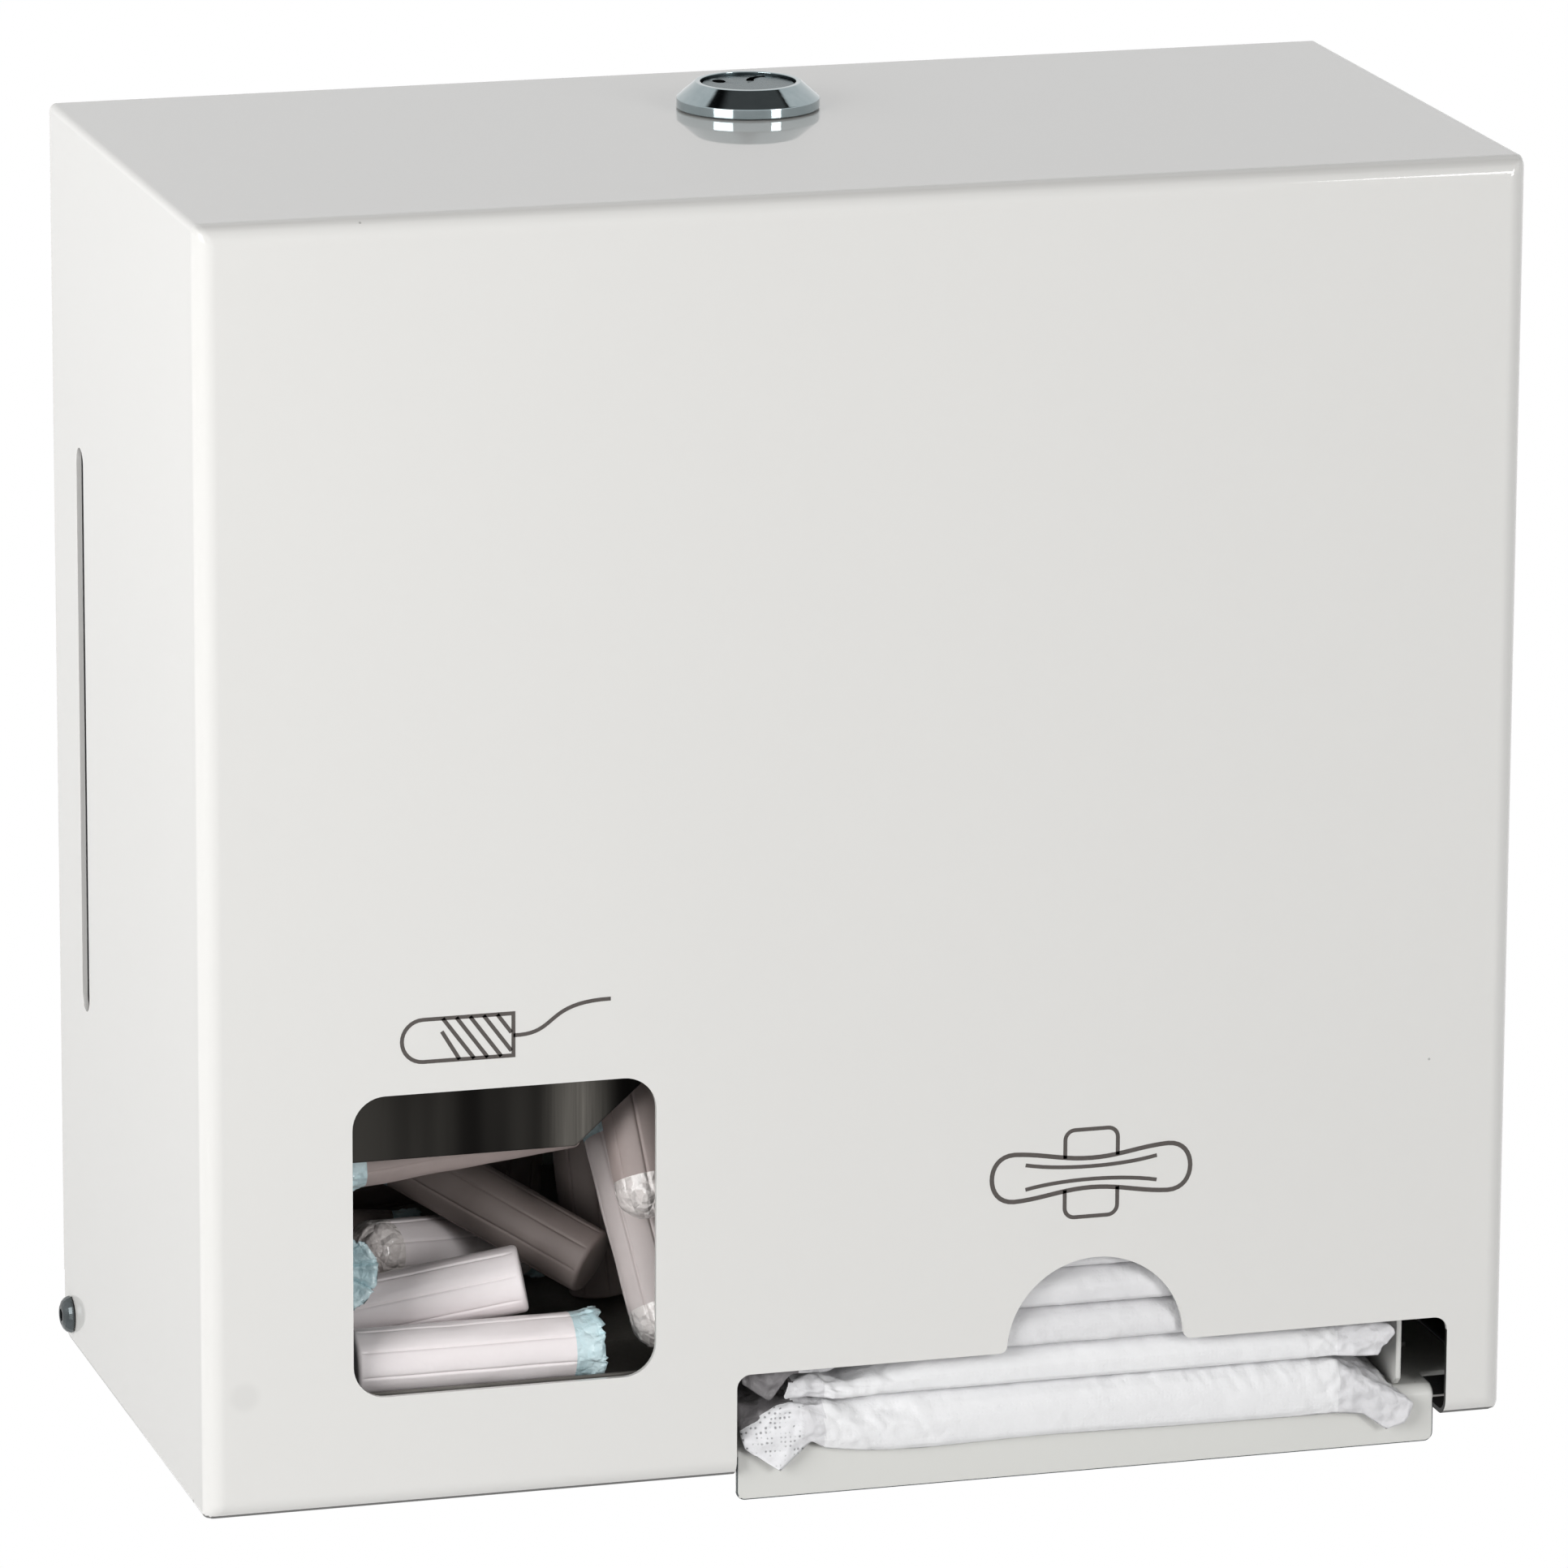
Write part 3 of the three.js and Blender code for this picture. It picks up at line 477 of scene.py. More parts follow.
# %% Powder coat, for the cover and for the sheets inside it
def powder_coat(name, colour, coat, coat_roughness, soften_mm=0.0):
    """Sprayed powder of one colour, with a clear skin of the given strength and roughness."""
    tree, shader = new_finish(name, Coat_Weight=coat, Coat_Roughness=coat_roughness, Coat_IOR=1.5,
                              Specular_IOR_Level=0.2)
    surface, soil = use_group(tree, "orange_peel"), use_group(tree, "light_soiling")
    dull, bright, dirt = ([c * share for c in colour] for share in (0.985, 1.01, 0.62))
    base = blend_colours(tree, soil["Cloud"], dull, bright)
    feed(tree, shader["Base Color"], blend_colours(tree, soil["Specks"], base, dirt))
    feed(tree, shader["Roughness"], map_range(tree, surface["Dullness"], *NOISE_RANGE, 0.42, 0.52))
    relief(tree, shader, surface["Height"], 0.012, soften_mm)
    return tree, shader


def paint_over(tree, shader, mask, colour):
    """Lays a second colour over the paint where the mask is 1."""
    paint = shader["Base Color"].links[0].from_socket
    feed(tree, shader["Base Color"], blend_colours(tree, mask, paint, colour))


# Of the colours below, the dark grey and the mid grey are painted shade.
COVER_WHITE, INNER_WHITE, INSIDE_SHADE_GREY, EDGE_SHADE_GREY = (srgb(code) for code in ("e3e2df", "dcdcd8", "2b2b2a", "6a6a68"))
INNER_COAT = dict(coat=0.3, coat_roughness=0.12, soften_mm=0.7)
MARK_PLACE, MARK_RADIUS, MARK_STRENGTH, MARK_SHARE = to_metres(-124.8, -DEPTH, 25.1), 2.7 * MM, 0.5, 0.87
FACES_LEFT = -0.5
powder_coat("white_inner_paint", INNER_WHITE, **INNER_COAT)
# Painted shade: dark grey for the cover's inside.
powder_coat("inside_painted_shade", INSIDE_SHADE_GREY, 0.0, 0.3)
# Painted shade: mid grey for the cover's lower edges.
powder_coat("lower_edge_painted_shade", EDGE_SHADE_GREY, 0.0, 0.3)

tree, shader = powder_coat("white_powder_coat", COVER_WHITE, 1.0, 0.04)
gap = add_node(tree, "VectorMath", {0: object_place(tree), 1: MARK_PLACE}, operation="DISTANCE").outputs["Value"]
mark = map_range(tree, gap, MARK_RADIUS * 0.6, MARK_RADIUS * 1.4, MARK_STRENGTH, 0.0, smooth=True)
paint_over(tree, shader, mark, [c * MARK_SHARE for c in COVER_WHITE])

# White paint, with dark grey as painted shade on the faces that look left.
tree, shader = powder_coat("bin_wall_paint_and_painted_shade", INNER_WHITE, **INNER_COAT)
sideways = apart(tree, add_node(tree, "TexCoord").outputs["Normal"])["X"]
paint_over(tree, shader, math_node(tree, "LESS_THAN", sideways, FACES_LEFT), INSIDE_SHADE_GREY)


# %% Bare and plated metals
def brushed_metal(name, dark, light, roughness, metallic=1.0, worn=None):
    """Sheet with upright streaks. worn gives the middle and half width, along X, of a paler worn band."""
    tree, shader = new_finish(name, Metallic=metallic)
    brushing = use_group(tree, "brushed_streaks")
    streak, shine = brushing["Streak"], brushing["Band"]
    if worn is not None:
        middle, reach = worn
        off = math_node(tree, "ABSOLUTE", math_node(tree, "SUBTRACT", apart(tree, object_place(tree))["X"], middle))
        pale = map_range(tree, off, 0, reach, 0.75, 0.0, smooth=True)
        pale = math_node(tree, "MULTIPLY", math_node(tree, "ADD", streak, 0.5), pale)
        shine = math_node(tree, "MULTIPLY_ADD", shine, 0.3, pale)
    dress(tree, shader, shine, dark, light, streak, 0.012, (roughness - 0.08, roughness + 0.1), streak, 0.5)


def plain_metal(name, dark, light, roughness, cloud, soften_mm=0.0, edge_tint=1.0):
    """Metal with a faint cloud in its shine. A low edge_tint darkens it at low angles."""
    tree, shader = new_finish(name, Metallic=1.0, Specular_Tint=(edge_tint, edge_tint, edge_tint, 1))
    soil = use_group(tree, "light_soiling", Cloud_per_metre=cloud)
    skin = use_group(tree, "orange_peel", Size_per_metre=900.0, Grit_per_metre=5000.0)
    dress(tree, shader, soil["Cloud"], dark, light, skin["Height"], 0.004, (roughness * 0.7, roughness * 1.4),
          soften_mm=soften_mm)


# The baffle's very dark colours are partly painted shade, for bare sheet in the cover's shadow.
brushed_metal("brushed_sheet", "141312", "67645f", 0.40, worn=(-55 * MM, 9 * MM))
brushed_metal("floor_sheet", "6b6863", "8d8a84", 0.5, metallic=0.4)
plain_metal("lock_chrome", "8f9c9f", "a3adb0", 0.06, 500.0)
# Painted shade: a dark metal for the wall inside the lock's rim.
plain_metal("rim_inside_painted_shade", "333b3d", "454e51", 0.3, 400.0, edge_tint=0.4)
plain_metal("lock_face", "909b9e", "a3adb0", 0.22, 400.0, edge_tint=0.5)
# Painted shade: a near black metal inside the key notches.
plain_metal("notch_painted_shade", "0d0f10", "171a1b", 0.5, 400.0, edge_tint=0.05)
plain_metal("zinc_plate", "9a9c98", "bfc2c4", 0.32, 300.0, soften_mm=0.25)
plain_metal("dark_steel", "434849", "616769", 0.24, 400.0, soften_mm=0.25)


# %% Nylon and printing ink
def fine_skin(name, size, low, high, depth_mm, roughness=None, soften_mm=0.0, **sockets):
    """Plastic or ink with a fine orange peel."""
    tree, shader = new_finish(name, **sockets)
    skin = use_group(tree, "orange_peel", Size_per_metre=size)
    dress(tree, shader, skin["Dullness"], low, high, skin["Height"], depth_mm, roughness, soften_mm=soften_mm)


def glow_through(weight, radius):
    """Light that passes a little way through, with its reach in metres."""
    return {"Subsurface Weight": weight, "Subsurface Radius": (radius,) * 3}


fine_skin("nylon", 1500.0, "d8d4c8", "e6e3da", 0.01, soften_mm=0.2, **glow_through(0.1, 0.001))
fine_skin("printing_ink", 1800.0, "4c4744", "5b5653", 0.006, (0.4, 0.55), Specular_IOR_Level=0.3)


# %% Soft goods: non-woven wrapper, cotton under clear film, blue film end
def film_finish(name, low, high, roughness, folds, depth_mm, points=None, seal=False, **sockets):
    """Thin film, with its coarse and fine folds per metre. points adds embossed points: how many per metre, their size
    and their share in the relief. In a seal they also give the colour."""
    tree, shader = new_finish(name, **sockets)
    coarse, fine = folds
    film = use_group(tree, "film_crumple", Folds_per_metre=coarse, Fine_per_metre=fine)
    mask, height = film["Sheen"], film["Height"]
    if points is not None:
        per_metre, size, share = points
        pit = use_group(tree, "embossed_points", Points_per_metre=per_metre, Point_size=size)["Pit"]
        height = math_node(tree, "MULTIPLY_ADD", pit, share, height)
        mask = pit if seal else mask
    dress(tree, shader, mask, low, high, height, depth_mm, roughness, film["Sheen"])


# The second wrapper is a darker copy, as painted shade, for the pads above the two lowest.
for name, low, high in (("pad_wrapper", "eaeaeb", "f6f6f7"), ("stacked_pad_wrapper_painted_shade", "dedddf", "ececed")):
    film_finish(name, low, high, (0.5, 0.68), (150, 1400), 0.3, (1150, 0.42, 0.10),
                Sheen_Weight=0.12, Sheen_Roughness=0.4, Specular_IOR_Level=0.35)
film_finish("wrapper_seal", "98989a", "ececee", (0.45, 0.6), (120, 1600), 0.2, (1050, 0.36, 0.7), seal=True,
            Sheen_Weight=0.1, Specular_IOR_Level=0.35)
# The second film is a darker copy of the film end, as painted shade deep in the slot.
for name, low, high in (("wrapper_film_end", "cfcfd1", "ecebed"), ("wrapper_film_painted_shade", "5d5a5b", "8f8c8e")):
    film_finish(name, low, high, (0.32, 0.5), (260, 1500), 0.42, Specular_IOR_Level=0.45, **glow_through(0.05, 0.001))
film_finish("wrapped_cotton", "ece4e4", "f8f2f3", (0.55, 0.75), (130, 700), 0.12,
            Coat_Weight=0.6, Coat_Roughness=0.12, **glow_through(0.08, 0.002))
# Darker copies of the cotton for rolls deep in the bin: painted shade.
for name, low, high in (("shaded_cotton", "7f7470", "978b87"), ("half_shaded_cotton", "a0928e", "b9aba7"),
                        ("lightly_shaded_cotton", "c3b9b7", "d8cfcd")):
    film_finish(name, low, high, (0.6, 0.8), (130, 700), 0.12, Coat_Weight=0.12, Coat_Roughness=0.35)
film_finish("blue_film_end", "a3cdd6", "e6f2f4", (0.3, 0.5), (420, 1500), 0.6,
            Coat_Weight=0.8, Coat_Roughness=0.1, **glow_through(0.1, 0.002))
film_finish("clear_film_tip", "d3cac6", "f4efec", (0.3, 0.5), (330, 1300), 1.1, Coat_Weight=1.0, Coat_Roughness=0.07)

# %% [markdown]
# CAD pieces that keep their shape
#
# The hidden sheets and the fasteners are right as the CAD made them. They only get their finish from the record's
# table of slots. Most slots have the name of their finish.

# %% Paint the CAD pieces
OTHER_FINISH = {"tampon_wrapper": "wrapped_cotton", "bin_floor": "floor_sheet", "bin_left_wall": "bin_wall_paint_and_painted_shade"}
for row in frame["record"]["subparts"]:
    slot = row["material_slot"]
    name = OTHER_FINISH.get(row["node"], OTHER_FINISH.get(slot, slot))
    materials = frame["nodes"][row["node"]].data.materials
    materials.clear()
    materials.append(finishes[name])

# %% [markdown]
# Outlines for cutting sheet
#
# A sheet metal shop cuts flat outlines and then bends. Here a solid box with rounded bends is made first, a smaller one
# is taken out of it to leave a 1 mm skin, and each opening is cut with a prism of its outline. Boolean modifiers do
# the cutting, and a small bevel gives every cut edge the rounding that paint has on a real edge.

# %% Outline helpers
WINDOW = dict(x0=-103.15, x1=-42.65, y0=22.8, y1=83.3, radius=6.5)
AXIS_PLACES = {"x": lambda a, b, t: (t, a, b), "y": lambda a, b, t: (a, t, b), "z": lambda a, b, t: (a, b, t)}


def arc(cx, cy, radius, start, stop, steps):
    """Points of an arc, in degrees, with both ends."""
    angles = [math.radians(start + (stop - start) * k / steps) for k in range(steps + 1)]
    return [(cx + radius * math.cos(a), cy + radius * math.sin(a)) for a in angles]


def rounded_outline(x0, x1, y0, y1, radius, steps=10):
    """A rectangle with round corners."""
    x0, x1, y0, y1 = x0 + radius, x1 - radius, y0 + radius, y1 - radius
    turns = ((x1, y0, -90), (x1, y1, 0), (x0, y1, 90), (x0, y0, 180))
    return [point for x, y, start in turns for point in arc(x, y, radius, start, start + 90, steps)]


def prism(name, outline, axis, start, stop):
    """A closed prism of a flat outline along X, Y or Z."""
    place = AXIS_PLACES[axis]
    count = len(outline)
    vertices = [place(a, b, start) for a, b in outline] + [place(a, b, stop) for a, b in outline]
    faces = [tuple(range(count)), tuple(range(count, 2 * count))]
    faces += [(k, (k + 1) % count, count + (k + 1) % count, count + k) for k in range(count)]
    return new_object(name, vertices, faces)


def block(name, x0, x1, y0, y1, z0, z1):
    return prism(name, [(x0, y0), (x1, y0), (x1, y1), (x0, y1)], "z", z0, z1)


def cut_with(target, *tools, operation="DIFFERENCE"):
    """Cuts the tools out of the target, or joins them to it, and removes the tools."""
    for tool in tools:
        modify(target, "cut", "BOOLEAN", operation=operation, solver="EXACT", object=tool)
        bpy.data.objects.remove(tool)


def soften_edges(target, width_mm, segments=2, angle=40):
    """Rounds the cut edges and lets the broad faces keep flat shading."""
    modify(target, "paint_edge", "BEVEL", width=width_mm * MM, segments=segments, limit_method="ANGLE",
           angle_limit=math.radians(angle), use_clamp_overlap=True)
    target.data.polygons.foreach_set("use_smooth", [True] * len(target.data.polygons))
    modify(target, "flat_faces", "WEIGHTED_NORMAL", keep_sharp=True, weight=100)


print("window outline:", len(rounded_outline(**WINDOW)), "points")

# %% [markdown]
# The cover
#
# The cover is one folded sheet: front, top and two sides, with narrow flanges turned in at the bottom. The three long
# bends of the front have a radius of 4 mm, and the seams between top and sides are welded and ground to a tighter
# radius. Bevel weights on the edges of a plain box give both radii and their corners in one operation.

# %% Cover box with bends
SLOT_LEFT, SLOT_RIGHT, SLOT_TOP, SLOT_CORNER, SLOT_LOW = -26.2, 120.5, 21.2, 2.8, -8.0
NOTCH_X, NOTCH_RADIUS, NOTCH_FILLET = 47.15, 18.3, 1.5
SIGHT_Y, SIGHT_LOW, SIGHT_HIGH, SIGHT_WIDTH = -24.5, 75.0, 190.4, 6.0
FLANGE_SIDE, FLANGE_FRONT, FLANGE_END, RELIEF = 10.0, 12.0, 19.0, 1.2
LOCK_HOLE, PIVOT_HOLE = 9.7, 3.5
ON_PLANE, LEAST_SEAM = 0.01, 0.5


def folded_box(name, inset, rear):
    """The box that the cover's outer faces enclose, or with an inset its inner faces."""
    half, top, front = HALF_WIDTH - inset, HEIGHT - inset, -DEPTH + inset
    made = block(name, -half, half, front, rear, inset, top)
    weights = made.data.attributes.new("bevel_weight_edge", "FLOAT", "EDGE")
    large = BEND - inset
    small = max(SEAM - inset, LEAST_SEAM)
    for edge in made.data.edges:
        ends = [made.data.vertices[i].co / MM for i in edge.vertices]
        at_front = all(abs(p.y - front) < ON_PLANE for p in ends)
        at_rear = all(abs(p.y - rear) < ON_PLANE for p in ends)
        at_side = all(abs(abs(p.x) - half) < ON_PLANE for p in ends)
        if at_front:
            weights.data[edge.index].value = 1.0
        elif at_side and not at_rear and abs(ends[0].y - ends[1].y) > 1:
            weights.data[edge.index].value = small / large
    return modify(made, "bends", "BEVEL", width=large * MM, segments=8, limit_method="WEIGHT")


def slot_outline():
    """The pad slot with its thumb notch, open at the bottom."""
    reach = NOTCH_RADIUS + NOTCH_FILLET
    lean = math.degrees(math.asin(NOTCH_FILLET / reach))
    foot = reach * math.cos(math.radians(lean))
    return ([(SLOT_LEFT, SLOT_LOW), (SLOT_RIGHT, SLOT_LOW)]
            + arc(SLOT_RIGHT - SLOT_CORNER, SLOT_TOP - SLOT_CORNER, SLOT_CORNER, 0, 90, 8)
            + arc(NOTCH_X + foot, SLOT_TOP + NOTCH_FILLET, NOTCH_FILLET, 270, 180 + lean, 6)
            + arc(NOTCH_X, SLOT_TOP, NOTCH_RADIUS, lean, 180 - lean, 40)
            + arc(NOTCH_X - foot, SLOT_TOP + NOTCH_FILLET, NOTCH_FILLET, -lean, -90, 6)
            + arc(SLOT_LEFT + SLOT_CORNER, SLOT_TOP - SLOT_CORNER, SLOT_CORNER, 90, 180, 8))


def ear_waste():
    """What is cut from the sides' lower rear corners, to leave an ear round the hinge screw."""
    return ([(PIVOT_Y, -2), (3, -2), (3, 14), (PIVOT_Y + PIVOT_Z, 14)] + arc(PIVOT_Y, PIVOT_Z, PIVOT_Z, 0, -90, 12))


cover = folded_box("cover_sheet", 0.0, -0.5)
print("folded box:", len(cover.data.polygons), "faces")

# %% Cut the cover
inner_half = HALF_WIDTH - SHEET
flange_half = inner_half - FLANGE_SIDE
flange_edge = -DEPTH + FLANGE_FRONT
across = ("x", -HALF_WIDTH - 4, HALF_WIDTH + 4)
sight = rounded_outline(SIGHT_Y - SIGHT_WIDTH / 2, SIGHT_Y + SIGHT_WIDTH / 2, SIGHT_LOW, SIGHT_HIGH,
                        SIGHT_WIDTH / 2 - 0.01)
cutters = [
    folded_box("hollow", SHEET, 12.0),
    block("open_bottom", -flange_half, flange_half, flange_edge, 12, -10, 6),
    block("open_rear_bottom", -inner_half, inner_half, -FLANGE_END, 12, -10, 12),
    prism("window", rounded_outline(**WINDOW), "y", -DEPTH - 3, -DEPTH + 5),
    prism("slot", slot_outline(), "y", -DEPTH - 3, flange_edge + 4),
    prism("sight", sight, *across),
    prism("lock_hole", arc(0, LOCK_Y, LOCK_HOLE, 0, 354, 59), "z", HEIGHT - 5, HEIGHT + 5),
    prism("pivot_holes", arc(PIVOT_Y, PIVOT_Z, PIVOT_HOLE, 0, 348, 29), *across),
    prism("ear_shape", ear_waste(), *across),
    block("relief_left", -HALF_WIDTH - 2, -flange_half + 1, flange_edge - RELIEF, flange_edge, -2, 1.5),
    block("relief_right", flange_half - 1, HALF_WIDTH + 2, flange_edge - RELIEF, flange_edge, -2, 1.5),
]
cut_with(cover, *cutters)
soften_edges(cover, 0.3)
finish_piece(cover, ["white_powder_coat", "inside_painted_shade", "lower_edge_painted_shade"], "cover_body", "white_powder_coat", "cover")


def cover_finish(x, y, z, normal):
    """Dark grey on the inside and mid grey on the lower edges, both painted shade."""
    skin = SHEET - 0.1
    within = abs(x) < HALF_WIDTH - skin and y > -DEPTH + skin and skin < z < HEIGHT - skin
    if within and normal.dot(Vector((-x, -DEPTH / 2 - y, HEIGHT / 2 - z))) > 0:
        return 1
    return 2 if z < SHEET and normal.z < -0.3 else 0


choose_finishes(cover, cover_finish)
print("cover:", len(cover.data.polygons), "faces")

# %% [markdown]
# The pad tray
#
# The tray and its front lip show through the slot, so they get smooth bends too. The tray is a strip: a flat profile
# drawn edge on, with an arc at every bend, and swept along the sheet's width.

# %% Bent strip helper
def bent_profile(points, sheet, bend=1.5, steps=8):
    """The edge-on outline of a bent sheet, as its middle line with rounded bends offset to both sides."""
    corners = [Vector(p) for p in points]
    middle = [(corners[0], (corners[1] - corners[0]).normalized())]
    for before, corner, after in zip(corners, corners[1:], corners[2:]):
        first = (corner - before).normalized()
        second = (after - corner).normalized()
        swing = math.atan2(first.x * second.y - first.y * second.x, first.dot(second))
        radius = bend + sheet / 2
        start = corner - first * radius * math.tan(abs(swing) / 2)
        side = math.copysign(1, swing)
        centre = start + Vector((-first.y, first.x)) * side * radius
        for k in range(steps + 1):
            angle = swing * k / steps
            along = Vector((first.x * math.cos(angle) - first.y * math.sin(angle),
                            first.x * math.sin(angle) + first.y * math.cos(angle)))
            middle.append((centre - Vector((-along.y, along.x)) * side * radius, along))
    middle.append((corners[-1], (corners[-1] - corners[-2]).normalized()))
    left = [(p.x - t.y * sheet / 2, p.y + t.x * sheet / 2) for p, t in middle]
    right = [(p.x + t.y * sheet / 2, p.y - t.x * sheet / 2) for p, t in reversed(middle)]
    return left + right


print("points round one bend:", len(bent_profile([(0, 0), (10, 0), (10, 10)], SHEET)))

# %% Pad tray with its front lip
TRAY_TOP, LIP_FACE, LIP_BOTTOM, LIP_LEFT, LIP_RIGHT, SHOULDER = 6.0, -124.0, -5.5, -25.4, 119.0, -115.0
TRAY_HALF, LIP_CORNER, RIVET_HOLE = 130.6, 1.8, 1.9
tray_profile = bent_profile([(-2.0, 20.0), (-2.0, TRAY_TOP - 0.5), (LIP_FACE + 0.5, TRAY_TOP - 0.5),
                             (LIP_FACE + 0.5, LIP_BOTTOM)], SHEET)
tray = prism("pad_tray_sheet", tray_profile, "x", -TRAY_HALF, TRAY_HALF)
cut_with(tray, block("left_of_tongue", -140, LIP_LEFT, -140, SHOULDER, -20, 30),
         block("right_of_tongue", LIP_RIGHT, 140, -140, SHOULDER, -20, 30),
         block("left_rear", -140, -117, -19, 5, -20, 40), block("right_rear", 117, 140, -19, 5, -20, 40))
under_lip = ([(LIP_LEFT - 2, LIP_BOTTOM - 2), (LIP_RIGHT + 2, LIP_BOTTOM - 2), (LIP_RIGHT + 2, LIP_BOTTOM + 4)]
             + arc(LIP_RIGHT - LIP_CORNER, LIP_BOTTOM + LIP_CORNER, LIP_CORNER, 0, -90, 8)
             + arc(LIP_LEFT + LIP_CORNER, LIP_BOTTOM + LIP_CORNER, LIP_CORNER, 270, 180, 8)
             + [(LIP_LEFT - 2, LIP_BOTTOM + 4)])
cut_with(tray, prism("lip_corners", under_lip, "y", LIP_FACE - 3, LIP_FACE + 3))
for x in (-121.5, -33.5, 117.3):
    for y in (-92, -30):
        cut_with(tray, prism("rivet_hole", arc(x, y, RIVET_HOLE, 0, 340, 17), "z", 3, 9))
soften_edges(tray, 0.28)
finish_piece(tray, ["white_inner_paint", "dark_steel"], "frame", "white_inner_paint", "pad_tray")


def tray_finish(x, y, z, normal):
    """The lip's lower and side edges get dark steel as painted shade."""
    at_lip = y < LIP_FACE + 1.2 and z < TRAY_TOP - 2.5
    return 1 if at_lip and (normal.z < -0.3 or abs(normal.x) > 0.3) else 0


choose_finishes(tray, tray_finish)
print("tray:", len(tray.data.polygons), "faces")

# %% [markdown]
# The cam lock
#
# A lock of this kind is turned from brass and chromed: a short band, a cone and a flat rim round a recessed disc. It is
# a body of revolution, so its profile is spun round the axis. The disc has two notches for the pins of a tube key.

# %% Spun pieces
def spun(name, profile, centre, steps=96):
    """Spins a closed profile of radius and height pairs round an upright axis."""
    cx, cy, cz = centre
    vertices, faces = [], []
    count = len(profile)
    for k in range(steps):
        angle = 2 * math.pi * k / steps
        vertices += [(cx + r * math.cos(angle), cy + r * math.sin(angle), cz + h) for r, h in profile]
        here, after = k * count, (k + 1) % steps * count
        faces += [(here + i, after + i, after + (i + 1) % count, here + (i + 1) % count) for i in range(count)]
    return new_object(name, vertices, faces, weld=True)


def rounded_profile(corners, radius=0.15, steps=3):
    """Rounds each corner of a closed profile that is off the axis."""
    points = []
    for i, corner in enumerate(corners):
        here, before, after = Vector(corner), Vector(corners[i - 1]), Vector(corners[(i + 1) % len(corners)])
        if here.x < 0.01:
            points.append(tuple(here))
            continue
        reach = min(radius, (here - before).length * 0.4, (here - after).length * 0.4)
        start = here + (before - here).normalized() * reach
        stop = here + (after - here).normalized() * reach
        for t in (k / steps for k in range(steps + 1)):
            points.append(tuple(start * (1 - t) ** 2 + here * 2 * t * (1 - t) + stop * t ** 2))
    return points


BEZEL, BAND_TOP, RIM, RIM_TOP, DISC, BARREL = 14.2, 2.2, 10.5, 5.4, 9.2, 9.3
BAND_LOW, BODY_END, STEM, STEM_END = 0.3, -18, 8.0, -18.6
bezel_profile = rounded_profile([
    (DISC + 0.3, RIM_TOP), (RIM, RIM_TOP), (BEZEL, BAND_TOP), (BEZEL, BAND_LOW), (BARREL, BAND_LOW), (BARREL, BODY_END),
    (DISC - 0.9, BODY_END), (DISC - 0.9, RIM_TOP - 2), (DISC + 0.3, RIM_TOP - 2)])
bezel = spun("lock_bezel", bezel_profile, (0, LOCK_Y, HEIGHT))
soften_edges(bezel, 0.02, segments=1, angle=70)
finish_piece(bezel, ["lock_chrome", "rim_inside_painted_shade"], "cover_body", "lock_chrome", "lock_body")


def bezel_finish(x, y, z, normal):
    """The wall inside the rim is dark, as painted shade."""
    out = Vector((x, y - LOCK_Y, 0))
    in_rim = RIM_TOP - 2.3 < z - HEIGHT < RIM_TOP - 0.12 and out.length < RIM - 0.3
    return 1 if in_rim and normal.dot(out) < 0 else 0


choose_finishes(bezel, bezel_finish)
print("bezel:", len(bezel.data.polygons), "faces")

# %% Lock disc with its key notches
DISC_FACE, NOTCH_DEPTH = RIM_TOP - 0.6, 3.2
CAM_SQUARE, SCREW_HOLE = 3.5, 2.7
disc_profile = rounded_profile([(0, STEM_END), (STEM, STEM_END), (STEM, RIM_TOP - 1.7), (DISC, RIM_TOP - 1.7),
                                (DISC, DISC_FACE), (0, DISC_FACE)])
plug = spun("lock_disc", disc_profile, (0, LOCK_Y, HEIGHT))


def ribbon_outline(points, width):
    """The outline of a band of even width along some points."""
    path = [Vector(p) for p in points]
    left, right = [], []
    for i, p in enumerate(path):
        along = (path[min(i + 1, len(path) - 1)] - path[max(i - 1, 0)]).normalized()
        side = Vector((-along.y, along.x)) * width / 2
        left.append(tuple(p + side))
        right.append(tuple(p - side))
    return left + right[::-1]


left_notch = [(-4.9 + 1.3 * x, 3.9 + 1.9 * y) for x, y in arc(0, 0, 1, 0, 345, 23)]
right_notch = ribbon_outline([(1.1, 2.6), (1.7, 4.4), (2.7, 5.8), (4.0, 6.5), (5.3, 6.4)], 1.5)
cut_with(plug, *(prism(name, [(x, y + LOCK_Y) for x, y in outline], "z", HEIGHT + DISC_FACE - NOTCH_DEPTH,
                       HEIGHT + DISC_FACE + 2)
                 for name, outline in (("left_key_notch", left_notch), ("right_key_notch", right_notch))))
cut_with(plug, block("cam_square", -CAM_SQUARE, CAM_SQUARE, LOCK_Y - CAM_SQUARE, LOCK_Y + CAM_SQUARE, HEIGHT - 21.4,
                     HEIGHT - 18.2), operation="UNION")
cut_with(plug, prism("cam_screw_hole", arc(0, LOCK_Y, SCREW_HOLE, 0, 345, 23), "z", HEIGHT - 25, HEIGHT - 12))
soften_edges(plug, 0.05, segments=1, angle=50)
finish_piece(plug, ["lock_face", "notch_painted_shade"], "lock_core", "lock_chrome", "lock_plug")


def plug_finish(x, y, z, normal):
    """The key notches are dark inside, as painted shade."""
    y, z = y - LOCK_Y, z - HEIGHT
    in_notch = DISC_FACE - NOTCH_DEPTH - 0.1 < z < DISC_FACE - 0.06 and y > 1.2
    return 1 if in_notch and math.hypot(x, y) < DISC - 0.3 else 0


choose_finishes(plug, plug_finish)
print("disc:", len(plug.data.polygons), "faces")

